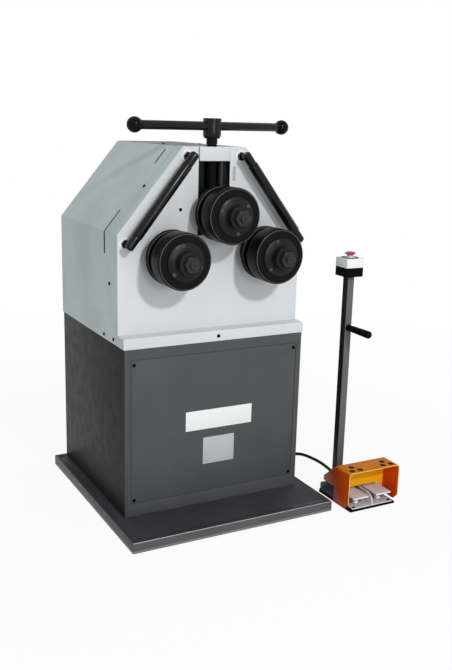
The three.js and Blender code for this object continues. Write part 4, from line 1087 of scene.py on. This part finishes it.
@dataclass
class RollStation:
    """One roll: its shaft, inner flange, ring, clamp hub and nut."""

    name: str
    first_screw: float  # the place of the first clamp screw, in degrees
    corner: float = 0.0012
    ring_corner: float = 0.001
    chamfer: float = 0.004  # at the front of ring and flange
    back_chamfer: float = 0.0015
    highlight_width: float = 0.0012  # of the painted highlight line, to each side
    highlight_lean: Pair = (0.72, 0.999)  # forward share of its faces' normals, from and to
    ring_bore: float = 0.0253
    groove_radius: float = 0.06
    groove_width: float = 0.033
    collar_radius: float = 0.0368
    collar_step: float = 0.004
    plate_depth: float = 0.01  # of the clamp plate's face in front of the hub's back
    plate_drop: float = 0.005  # of the clamp plate's face from its middle to its rim
    screw_circle: float = 0.052
    screw_parts: Sequence[Quad] = (  # sides, radius, length and start behind the plate's face
        (32, 0.0063, 0.009, -0.002), (32, 0.0055, 0.005, 0.003), (6, 0.0036, 0.006, -0.001))
    nut_waist: Pair = (0.88, 1.002)  # of its corner radius: face, rim
    nut_chamfer: float = 0.0022
    shaft_radius: float = 0.03
    shaft_corner: float = 0.0006
    shoulder_radius: float = 0.033
    shoulder_width: float = 0.012
    seat_radius: float = 0.025
    seat_gap: float = 0.0003
    thread_radius: float = 0.015
    thread_gap: float = 0.0003
    tip_radius: float = 0.013
    tip_reach: float = 0.0005  # of the tip, in front of the nut
    centre_hole: Profile = ((0, 0.006), (0.0012, 0.003), (0.0035, 0))  # radius, depth

    @property
    def centre(self) -> Vector:
        """The point of the shaft's axis where y is 0."""
        return centre_of(f"{self.name}_roll_ring", Y)

    @property
    def finish(self) -> Finish:
        """The black finish with this roll's turning rings."""
        return replace(OXIDE, name=f"black_oxide_{self.name}", grain=Grain.TURNED, grain_scale=700.0,
                       grain_depth=0.00003, centre=tuple(self.centre))

    def keep(self, mesh: BMesh, part: str, finish: Finish, node: str = "") -> Object:
        """Keeps a piece of this roll, which may stand for one of the roll's nodes."""
        return keep_piece(mesh, f"{self.name}_{part}", finish, node and f"{self.name}_{node}",
                          f"{self.name}_roll")

    def build(self) -> None:
        """Builds the station's pieces."""
        self.wheel("ring", 0.0)
        self.wheel("flange", self.groove_width)
        self.clamp_hub()
        self.nut()
        self.shaft()

    def wheel(self, part: str, groove: float) -> None:
        """Builds the ring, or the inner flange behind its groove.

        Args:
            part: The end of its node's name.
            groove: The width of the groove in front of it, or 0.
        """
        low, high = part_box(f"{self.name}_roll_{part}")
        centre, radius, face = self.centre, (high.x - low.x) / 2, low.y + groove
        bevel, back = self.chamfer, self.back_chamfer
        neck = [(self.groove_radius, low.y), (self.groove_radius, face)] if groove else []
        profile = [(self.ring_bore, low.y), *neck, (radius - bevel, face), (radius, face + bevel),
                   (radius, high.y - back), (radius - back, high.y), (self.ring_bore, high.y)]
        mesh = spun(profile, Y, centre, self.ring_corner, True, 144)

        def highlight_line(middle: Vector, normal: Vector) -> int:
            """Picks the inner edge of the front chamfer, which gets a painted highlight line.

            Args:
                middle: A face's middle.
                normal: The way it faces.

            Returns:
                1 for a face of the painted highlight line, else 0.
            """
            away = math.hypot(middle.x - centre.x, middle.z - centre.z)
            least, most = self.highlight_lean
            return int(abs(away - radius + bevel) < self.highlight_width and least < -normal.y < most)

        # The line round the chamfer's inner edge is a painted highlight.
        paint_faces(self.keep(mesh, part, self.finish, f"roll_{part}"), highlight_line, EDGE_WEAR_AND_HIGHLIGHT)

    def clamp_hub(self) -> None:
        """Builds the clamp hub with three countersunk socket screws."""
        low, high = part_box(f"{self.name}_clamp_hub")
        radius, plate, collar = (high.x - low.x) / 2, high.y - self.plate_depth, self.collar_radius
        profile = [(self.thread_radius, low.y), (collar, low.y), (collar, plate),
                   (collar + self.collar_step, plate), (radius, plate + self.plate_drop), (radius, high.y),
                   (self.thread_radius, high.y)]
        hub = spun(profile, Y, self.centre, self.corner, True)
        heads = []
        for third in range(3):
            angle = math.radians(self.first_screw) + third * 2 * math.pi / 3
            way = Vector((math.cos(angle), 0, math.sin(angle)))
            hole, head, socket = (
                prism(sides, radius, length, Y, self.centre + way * self.screw_circle + Y * (plate + start))
                for sides, radius, length, start in self.screw_parts)
            hub = carve(hub, hole)
            heads.append(carve(head, socket))
        satin = replace(self.finish, name=f"satin_{self.name}", colour=(25, 25, 26), specular=0.15)
        self.keep(hub, "hub", satin, "clamp_hub")
        self.keep(merge(*heads), "hub_screws", EDGE_WEAR_AND_HIGHLIGHT)

    def nut(self) -> None:
        """Builds the chamfered hexagon nut."""
        low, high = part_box(f"{self.name}_shaft_nut")
        size = (high - low) / 2
        corner, height = max(size.x, size.z), high.y - low.y
        face, waist = (corner * share for share in self.nut_waist)
        rim = [(face, 0), (waist, self.nut_chamfer), (waist, height - self.nut_chamfer), (face, height)]
        turn = math.pi / 2 if size.z > size.x else 0.0
        nut = hexagon_nut(corner, height, Y, self.centre + Y * low.y, rim, turn)
        self.keep(nut, "nut", SATIN_BLACK, "shaft_nut")

    def shaft(self) -> None:
        """Builds the shaft with its thread, tip and centre hole."""
        low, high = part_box(f"{self.name}_shaft")
        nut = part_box(f"{self.name}_shaft_nut")[0].y - self.tip_reach
        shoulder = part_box(f"{self.name}_roll_flange")[1].y + self.seat_gap
        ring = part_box(f"{self.name}_roll_ring")[0].y
        thread, step = self.thread_radius - self.thread_gap, shoulder + self.shoulder_width
        profile = [(radius, low.y + depth) for radius, depth in self.centre_hole]
        profile += [(self.tip_radius, low.y), (self.tip_radius, nut), (thread, nut), (thread, ring),
                    (self.seat_radius, ring), (self.seat_radius, shoulder),
                    (self.shoulder_radius, shoulder), (self.shoulder_radius, step),
                    (self.shaft_radius, step), (self.shaft_radius, high.y), (0, high.y)]
        spindle = spun(profile, Y, self.centre, self.shaft_corner, steps=72)
        self.keep(spindle, "spindle", SATIN_BLACK, "shaft")


@dataclass
class BearingCaps:
    """The round caps of the lower shafts' bearings, with their screws."""

    bore: float = 0.0304
    corner: float = 0.0015
    screw_circle: float = 0.052
    screws: int = 6

    def build(self) -> None:
        """Builds both caps."""
        for side in SIDES:
            low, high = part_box(f"{side}_bearing_cap")
            centre, radius = centre_of(f"{side}_bearing_cap", Y), (high.x - low.x) / 2
            cap = spun(tube(self.bore, radius, low.y, high.y), Y, centre, self.corner, True)
            keep_piece(cap, f"{side}_cap", OXIDE, f"{side}_bearing_cap")
            angles = [2 * math.pi * (k + 0.5) / self.screws for k in range(self.screws)]
            places = [(centre + Vector((math.cos(a), 0, math.sin(a))) * self.screw_circle + Y * low.y, -Y)
                      for a in angles]
            keep_piece(SCREW.heads(places), f"{side}_cap_screws", OXIDE)


# Guide bars

@dataclass
class GuideBar:
    """A rod on two stand-offs with a sleeve that turns on it."""

    side: str
    roof: Point = (0.11075, 0.0, 1.216)  # the housing's upper corner
    shoulder: Point = (0.328, 0.0, 0.95)  # the housing's lower corner
    top_inset: Point = (0.0158, 0.0, 0.0295)  # of the upper stand-off from its corner
    foot_inset: Point = (0.0265, 0.0, 0.0285)
    mask_setback: float = 0.004  # of the mask's face behind the bridge's
    end_reach: float = 0.014  # of the rod past a stand-off
    core_inset: float = 0.046  # of its thinner middle, from its end
    rod_radius: float = 0.0145
    end_chamfer: float = 0.005
    core_radius: float = 0.01
    roller_radius: float = 0.0166
    roller_gap: float = 0.0004
    roller_corner: float = 0.0015
    end_gap: float = 0.0003
    corner: float = 0.001
    stem_radius: float = 0.007
    nut_radius: float = 0.0145
    nut_rim: Profile = ((1.01, -0.001), (1.01, 0.0072), (0.87, 0.009))  # share of the radius, height
    nut_turn: float = 0.3  # radians
    stem_gap: float = 0.001
    washer_radius: float = 0.0205
    washer_height: float = 0.0018
    washer_gap: float = 0.0001
    washer_corner: float = 0.0004
    bolt_radius: float = 0.009
    bolt_sink: float = 0.002
    bolt_corner: float = 0.0008

    def build(self) -> None:
        """Builds the rod, its stand-offs and the sleeve."""
        mirror = Matrix.Diagonal((SIDES[self.side], 1, 1))
        top = mirror @ (Vector(self.roof) - Vector(self.top_inset))
        foot = mirror @ (Vector(self.shoulder) - Vector(self.foot_inset))
        node = f"{self.side}_guide_roller"
        middle, way = (top + foot) / 2 + Y * centre_of(node).y, (foot - top).normalized()
        half = (foot - top).length / 2 + self.end_reach
        core, chamfer, thick = half - self.core_inset, self.end_chamfer, self.rod_radius
        side = [(thick - chamfer, half), (thick, half - chamfer), (thick, core), (self.core_radius, core)]
        outline = [(0, -half), *((radius, -along) for radius, along in side), *side[::-1], (0, half)]
        parts, washers = [spun(outline, way, middle, self.corner)], []
        for end in (top, foot):
            self.stand_off(Vector((end.x, middle.y, end.z)), parts, washers)
        keep_piece(merge(*parts), f"{self.side}_rod", BAR_BLACK, f"{self.side}_guide_rod")
        keep_piece(merge(*washers), f"{self.side}_rod_washers", PLATE_WHITE)
        length = core - self.end_gap
        outline = tube(self.core_radius + self.roller_gap, self.roller_radius, -length, length)
        sleeve = spun(outline, way, middle, self.roller_corner, True)
        keep_piece(sleeve, f"{self.side}_sleeve", BAR_BLACK, node, f"{self.side}_roller")

    def stand_off(self, foot: Vector, parts: list[BMesh], washers: list[BMesh]) -> None:
        """Builds a stand-off with its nut, bolt and washer.

        Args:
            foot: Where it leaves the rod's axis.
            parts: Gets the stem, the nut and the bolt's end.
            washers: Gets the washer.
        """
        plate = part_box("bridge_block")[0].y + self.mask_setback
        seat, stem, height = Vector((foot.x, plate, foot.z)), self.stem_radius, self.washer_height
        rim = [(self.nut_radius * share, along) for share, along in self.nut_rim]
        nut = rim[-1][1]
        parts += [spun(tube(0, stem, 0, plate - foot.y - self.stem_gap), Y, foot, steps=48),
                  hexagon_nut(self.nut_radius, nut, -Y, seat - Y * height, rim, self.nut_turn, 64),
                  spun(tube(0, self.bolt_radius, -self.bolt_sink, height), -Y, seat - Y * (height + nut),
                       self.bolt_corner, steps=32)]
        washers.append(spun(tube(stem, self.washer_radius, self.washer_gap, height), -Y, seat,
                            self.washer_corner, True, 64))


# Foot switch

@dataclass
class FootSwitch:
    """The foot switch: base, tread plate, pedals, dark body and orange hood."""

    base_edge: float = 0.0012
    body_edge: float = 0.0015
    tread_edge: float = 0.0006
    edge: float = 0.0008
    dot_radius: float = 0.0105
    dot_height: float = 0.0004
    dot_rise: float = 0.0002  # over the roof
    dots: Profile = (  # from the middle, behind the front edge
        (-0.067, 0.0475), (-0.05, 0.0185), (-0.084, 0.0185), (0.064, 0.0475), (0.081, 0.0185),
        (0.047, 0.0185))
    screw_inset: Pair = (0.0095, 0.0075)  # of the tread plate's screws, from its edges
    tread_depth: float = 0.092
    tread_thickness: float = 0.003
    lip_height: float = 0.0052  # of a pedal's turned-down edge
    lip_reach: float = 0.09
    margin: float = 0.01  # of the tool that shortens the lip
    spring_radius: float = 0.008
    spring_wire: float = 0.0016
    spring_turns: int = 4
    spring_steps: int = 20  # in each turn
    spring_setback: float = 0.033
    spring_foot: float = 0.0035  # above the tread plate's underside
    spring_drop: float = 0.0195  # of its top, from the pedal's, which leaves room for the pedal's way down
    wall_depth: float = 0.088  # of the hood's inner wall behind its front edge
    wall_spare: float = 0.001
    rim_depth: float = 0.002
    fin_half: float = 0.003  # of the fin's thickness, with some to spare
    edge_lean: float = 0.4  # the least forward share of a front edge's normal
    hood_lean: float = 0.6  # the least share of a hood face's normal along the way it looks
    hood_heart: Point = (0.0, 0.06, 0.05)  # a point inside, from the middle of its lower front edge

    def build(self) -> None:
        """Builds the pieces of the foot switch."""
        refine("pedal_base", "pedal_base_fine", BLACK_PLASTIC, (self.base_edge, 3))
        refine("pedal_body", "pedal_body_fine", SWITCH_BODY, (self.body_edge, 3))
        self.tread()
        for side in SIDES:
            low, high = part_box(f"{side}_pedal")
            spare = Vector((self.margin, self.margin, self.margin))
            lip = block(low - spare, (high.x + spare.x, low.y + self.lip_reach, high.z - self.lip_height))
            pedal = soften_sharp(carve(from_node(f"{side}_pedal"), lip), self.edge, 3)
            pedal = keep_piece(pedal, f"{side}_tread", PEDAL_METAL, f"{side}_pedal", f"{side}_pedal_body")
            # The pedal's forward faces get the near white, partly a painted highlight.
            paint_faces(pedal, lambda middle, normal: int(normal.y < -self.edge_lean), PEDAL_EDGE)
            self.spring(side)
        self.hood()

    def tread(self) -> None:
        """Builds the tread plate with its bright front edge, its fin and its four screws."""
        low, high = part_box("tread_plate")
        top, middle_x = low.z + self.tread_thickness, (low.x + high.x) / 2

        def bright_edge(middle: Vector, normal: Vector) -> int:
            """Picks the plate's front edge and the narrow edge of the fin, painted lighter partly as a
            painted highlight.
            """
            fin = abs(middle.x - middle_x) < self.fin_half and abs(normal.x) < TOWARDS and middle.z > top
            return 1 if normal.y < -self.edge_lean and middle.z < top else 2 * int(fin)

        plate = refine("tread_plate", "tread_plate_fine", TREAD_METAL, (self.tread_edge, 2))
        paint_faces(plate, bright_edge, PEDAL_EDGE, PEDAL_METAL)
        across, deep = self.screw_inset
        places = [(Vector((x, y, top)), Z) for x in (low.x + across, high.x - across)
                  for y in (low.y + deep, low.y + self.tread_depth - deep)]
        keep_piece(SCREW.heads(places), "tread_screws", DEEP_BLACK)

    def spring(self, side: str) -> None:
        """Builds the coil spring under the front of a pedal.

        Args:
            side: The pedal's side.
        """
        low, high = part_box(f"{side}_pedal")
        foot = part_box("tread_plate")[0].z + self.spring_foot
        centre = Vector(((low.x + high.x) / 2, low.y + self.spring_setback, 0))
        mesh = bmesh.new()
        wire = [(across, along) for along, across in arc(self.spring_wire, math.pi * 7 / 4, 7)]
        section = mesh.faces.new([mesh.verts.new(centre + Vector((
            self.spring_radius + across, 0, foot + self.spring_wire + along))) for across, along in wire])
        rise = high.z - self.spring_drop - foot - 2 * self.spring_wire
        steps = self.spring_turns * self.spring_steps
        bmesh.ops.spin(mesh, geom=[section, *section.edges, *section.verts], cent=centre, axis=Z,
                       dvec=(0, 0, rise / steps), angle=self.spring_turns * 2 * math.pi, steps=steps,
                       use_merge=False, use_duplicate=False)
        bmesh.ops.holes_fill(mesh, edges=[e for e in mesh.edges if e.is_boundary], sides=len(wire))
        keep_piece(mesh, f"{side}_pedal_spring", PEDAL_EDGE)

    def hood(self) -> None:
        """Builds the hood, its orange painted in lit and shaded copies with a painted highlight on its rim,
        and the round marks on its roof.
        """
        low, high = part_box("pedal_hood")
        front = Vector(((low.x + high.x) / 2, low.y, low.z))
        heart, wall = front + Vector(self.hood_heart), low.y + self.wall_depth

        def part(place: Vector, normal: Vector) -> int:
            """Tells the hood's side, roof, inner wall, inner sides and front rim apart.

            Args:
                place: A face's middle.
                normal: The way it faces.

            Returns:
                0 for a side, 1 for the roof, 2 for a face inside that looks forwards, 3 for another one
                inside, 4 for the rim.
            """
            forwards = normal.y < -self.hood_lean
            if forwards and place.y < low.y + self.rim_depth:
                return 4
            if (heart - place).dot(normal) > 0 and place.y < wall + self.wall_spare and normal.z > -TOWARDS:
                return 2 if forwards else 3
            return int(normal.z > self.hood_lean)

        hood = refine("pedal_hood", "hood", HOOD_SIDE_SHADE, (self.edge, 2), sharp=40.0)
        # Painted light and shade: sides and inner sides get darker copies, the roof and inner back wall
        # lighter ones, the rim a painted highlight.
        paint_faces(hood, part, HOOD_ROOF_LIT, HOOD_INSIDE_LIT, HOOD_WALL_SHADE, HOOD_RIM_HIGHLIGHT)
        roof = high.z - self.dot_height + self.dot_rise
        dot = tube(0, self.dot_radius, 0, self.dot_height)
        marks = [spun(dot, Z, Vector((front.x + x, front.y + y, roof)), steps=40) for x, y in self.dots]
        keep_piece(merge(*marks), "hood_marks", DEEP_BLACK)


# Post with grip and stop button

@dataclass
class StopPost:
    """The post behind the foot switch with its grip and the stop button's box.

    Each outline gives radii and distances along the piece's axis.
    """

    corner: float = 0.0022
    edge: float = 0.0005
    least: float = 0.3  # the least length of the post's corners
    box_corner: float = 0.004
    box_least: float = 0.02
    box_edge: float = 0.0007
    joint: float = 0.0003  # of the grip's root in front of the post
    end_share: float = 0.75  # of the grip's radius, how far its round end reaches
    grip: Profile = ((0.0115, -0.03), (0.0098, -0.006), (0.0112, -0.003), (0.0112, 0), (0.005, 0))
    pin_radius: float = 0.005
    ring: Profile = ((0.0135, -0.0012), (0.0305, -0.0012), (0.0305, 0.0003), (0.0135, 0.0003))
    bezel: Profile = ((0.0098, -0.0006), (0.0165, -0.0006), (0.0155, 0.0006), (0.011, 0.0024),
                      (0.0098, 0.0024))
    ring_corner: float = 0.0004
    corner_fine: float = 0.0005  # of the bezel and the button
    stem_radius: float = 0.009
    head_height: float = 0.0124
    head: Profile = ((0.009, 0), (0.0104, 0), (0.0108, 0.0018), (0.0196, 0.0058), (0.02, 0.0064),
                     (0.0198, 0.0072), (0.0165, 0.0096), (0.0118, 0.0124), (0, 0.0124))

    def build(self) -> None:
        """Builds the post, the grip and the box with its rings and its mushroom button."""
        corners = (self.corner, 3, runs_along(Z, self.least))
        post = refine("post", "post_tube", POST_PAINT, corners, (self.edge, 2))
        # The post's side faces get the painted shade.
        paint_faces(post, lambda middle, normal: int(abs(normal.x) > 0.8), POST_SIDE_SHADE)
        low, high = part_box("grip")
        root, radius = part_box("post")[0].y - self.joint, (high.x - low.x) / 2
        deep = radius * self.end_share
        end = [(across, low.y + deep - up * self.end_share) for across, up in arc(radius, math.pi / 2, 10)]
        grip = [*end, *((r, root + y) for r, y in self.grip), (self.pin_radius, high.y), (0, high.y)]
        keep_piece(spun(grip, Y, centre_of("grip", Y), steps=64), "grip_handle", BLACK_PLASTIC, "grip")
        for node, finish in (("stop_base", BLACK_PLASTIC), ("stop_cover", WHITE_PLASTIC)):
            corners = (self.box_corner, 4, runs_along(Z, self.box_least))
            refine(node, f"{node}_fine", finish, corners, (self.box_edge, 2))
        top = centre_of("stop_cover", Z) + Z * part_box("stop_cover")[1].z
        keep_piece(spun(self.ring, Z, top, self.ring_corner, True), "stop_ring", RING_BROWN)
        keep_piece(spun(self.bezel, Z, top, self.corner_fine, True), "stop_bezel", PLATE_WHITE)
        low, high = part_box("stop_button")
        head = high.z - self.head_height
        profile = [(0, low.z), (self.stem_radius, low.z), *((r, head + z) for r, z in self.head)]
        button = spun(profile, Z, centre_of("stop_button", Z), self.corner_fine, steps=72)
        button = keep_piece(button, "mushroom", RED_PLASTIC, "stop_button", "stop_button_body")
        paint_faces(button, lambda middle, normal: int(middle.z < head), PLATE_WHITE)


# Studio

@dataclass
class Studio:
    """The floor, the light and the camera of the photograph's view."""

    camera_place: Point = (-1.2794, -2.6546, 1.2986)
    camera_yaw: float = math.radians(28.3)  # to the right of straight back
    camera_pitch: float = math.radians(13.9)  # downwards
    camera_roll: float = math.radians(1.51)
    lens: float = 46.67  # for a 36 mm sensor over the picture's long side
    sensor: float = 36.0
    clip: Pair = (0.05, 200.0)
    floor_size: float = 60.0
    floor_sink: float = 0.0002
    floor_colour: Quad = (0.86, 0.86, 0.86, 1.0)
    floor_roughness: float = 0.9
    floor_glow_share: float = 0.92  # of pure white near the machine, for the camera and for gloss
    glow_reach: Pair = (1.0, 3.2)  # where the floor's glow begins to rise and is whole
    ambient: float = 0.45
    ambient_colour: Quad = (0.97, 1.0, 0.99, 1.0)
    lamps: Sequence[tuple[str, Point, Point, float, float]] = (  # name, place, aim, metres, watts
        ("main_light", (0.0, -4.6, 3.3), (0.0, -0.2, 0.9), 0.35, 105.0),
        ("front_light", (-0.4, -5.2, 1.6), (0.0, 0.0, 0.6), 0.6, 30.0),
    )

    def camera(self) -> None:
        """Sets the camera where the photograph was taken from."""
        yaw, pitch, roll = self.camera_yaw, self.camera_pitch, self.camera_roll
        right = Vector((math.cos(yaw), -math.sin(yaw), 0))
        forward = Vector((math.sin(yaw), math.cos(yaw), 0)) * math.cos(pitch) - Z * math.sin(pitch)
        up = right.cross(forward)
        across = right * math.cos(roll) + up * math.sin(roll)
        above = up * math.cos(roll) - right * math.sin(roll)
        data = bpy.data.cameras.new("camera")
        data.lens, data.sensor_width, data.sensor_fit = self.lens, self.sensor, "AUTO"
        data.clip_start, data.clip_end = self.clip
        camera = link_new("camera", data)
        turn = Matrix((across, above, -forward)).transposed().to_4x4()
        camera.matrix_world = Matrix.Translation(Vector(self.camera_place)) @ turn
        bpy.context.scene.camera = camera

    @staticmethod
    def seen(shader: Shader) -> NodeSocket:
        """Tells the rays that should meet plain white from those that light the object.

        Args:
            shader: The tree that needs the mask.

        Returns:
            A socket that is 1 for camera, glossy and transmission rays, and 0 for the others.
        """
        rays = shader.add("LightPath", {}).outputs
        straight = shader.math("MAXIMUM", rays["Is Camera Ray"], rays["Is Glossy Ray"])
        return shader.math("MAXIMUM", straight, rays["Is Transmission Ray"])

    def floor(self) -> None:
        """Lays the pale floor, which the camera sees nearly white and which keeps the shadow."""
        mesh = bmesh.new()
        bmesh.ops.create_grid(mesh, x_segments=1, y_segments=1, size=self.floor_size / 2)
        bmesh.ops.translate(mesh, vec=(0, 0, -self.floor_sink), verts=mesh.verts[:])
        data = bpy.data.meshes.new("floor")
        mesh.to_mesh(data)
        mesh.free()
        link_new("floor", data)
        material = bpy.data.materials.new("floor_white")
        material.use_nodes = True
        shader = Shader(material.node_tree)
        surface = shader.add("BsdfPrincipled", {"Base Color": self.floor_colour,
                                                "Roughness": self.floor_roughness})
        glow = shader.add("Emission", {"Color": WHITE, "Strength": 1.0})
        place = shader.add("TexCoord", {}).outputs["Object"]
        away = shader.add("VectorMath", {0: place}, operation="LENGTH")
        rise = shader.spread(away.outputs["Value"], self.floor_glow_share, 1.0, *self.glow_reach)
        share = shader.math("MULTIPLY", self.seen(shader), rise)
        mixed = shader.add("MixShader", {"Fac": share, 1: surface.outputs["BSDF"],
                                         2: glow.outputs["Emission"]})
        shader.add("OutputMaterial", {"Surface": mixed.outputs["Shader"]})
        data.materials.append(material)

    def world(self) -> None:
        """Sets the even light of the room, white where the camera or a gloss looks past the object."""
        world = bpy.data.worlds.new("studio")
        bpy.context.scene.world = world
        world.use_nodes = True
        shader = Shader(world.node_tree)
        room = shader.add("Background", {"Color": self.ambient_colour, "Strength": self.ambient})
        white = shader.add("Background", {"Color": WHITE, "Strength": 1.0})
        mixed = shader.add("MixShader", {"Fac": self.seen(shader), 1: room.outputs["Background"],
                                         2: white.outputs["Background"]})
        shader.add("OutputWorld", {"Surface": mixed.outputs["Shader"]})

    def lights(self) -> None:
        """Hangs the small main light high in front and a fill light lower down, both square."""
        for name, place, aim, size, power in self.lamps:
            data = bpy.data.lights.new(name, "AREA")
            data.shape, data.size, data.energy = "SQUARE", size, power
            turn = (Vector(aim) - Vector(place)).normalized().to_track_quat("-Z", "Y").to_matrix().to_4x4()
            link_new(name, data).matrix_world = Matrix.Translation(Vector(place)) @ turn
        bpy.context.scene.view_settings.view_transform = "Standard"


def dress_nodes() -> None:
    """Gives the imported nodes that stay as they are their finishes."""
    for node, finish in NODE_FINISHES.items():
        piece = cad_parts[node]
        piece.data.materials.clear()
        piece.data.materials.append(finish.material())
        log.info("%s: %s", node, finish.name)


def main() -> None:
    """Builds the studio, the cable and every sub-assembly."""
    logging.basicConfig(level=logging.INFO, format="%(message)s")
    studio = Studio()
    studio.camera()
    PedalCable().build()
    studio.floor()
    studio.world()
    studio.lights()
    dress_nodes()
    for assembly in (CableGland(), BaseTray(), Cabinet(), Housing(), SlotParts(), ScrewAndHandle(),
                     RollStation("upper", 38.0), RollStation("left", 101.0), RollStation("right", 106.0),
                     BearingCaps(), GuideBar("left"), GuideBar("right"), FootSwitch(), StopPost()):
        assembly.build()


if __name__ == "__main__":
    main()
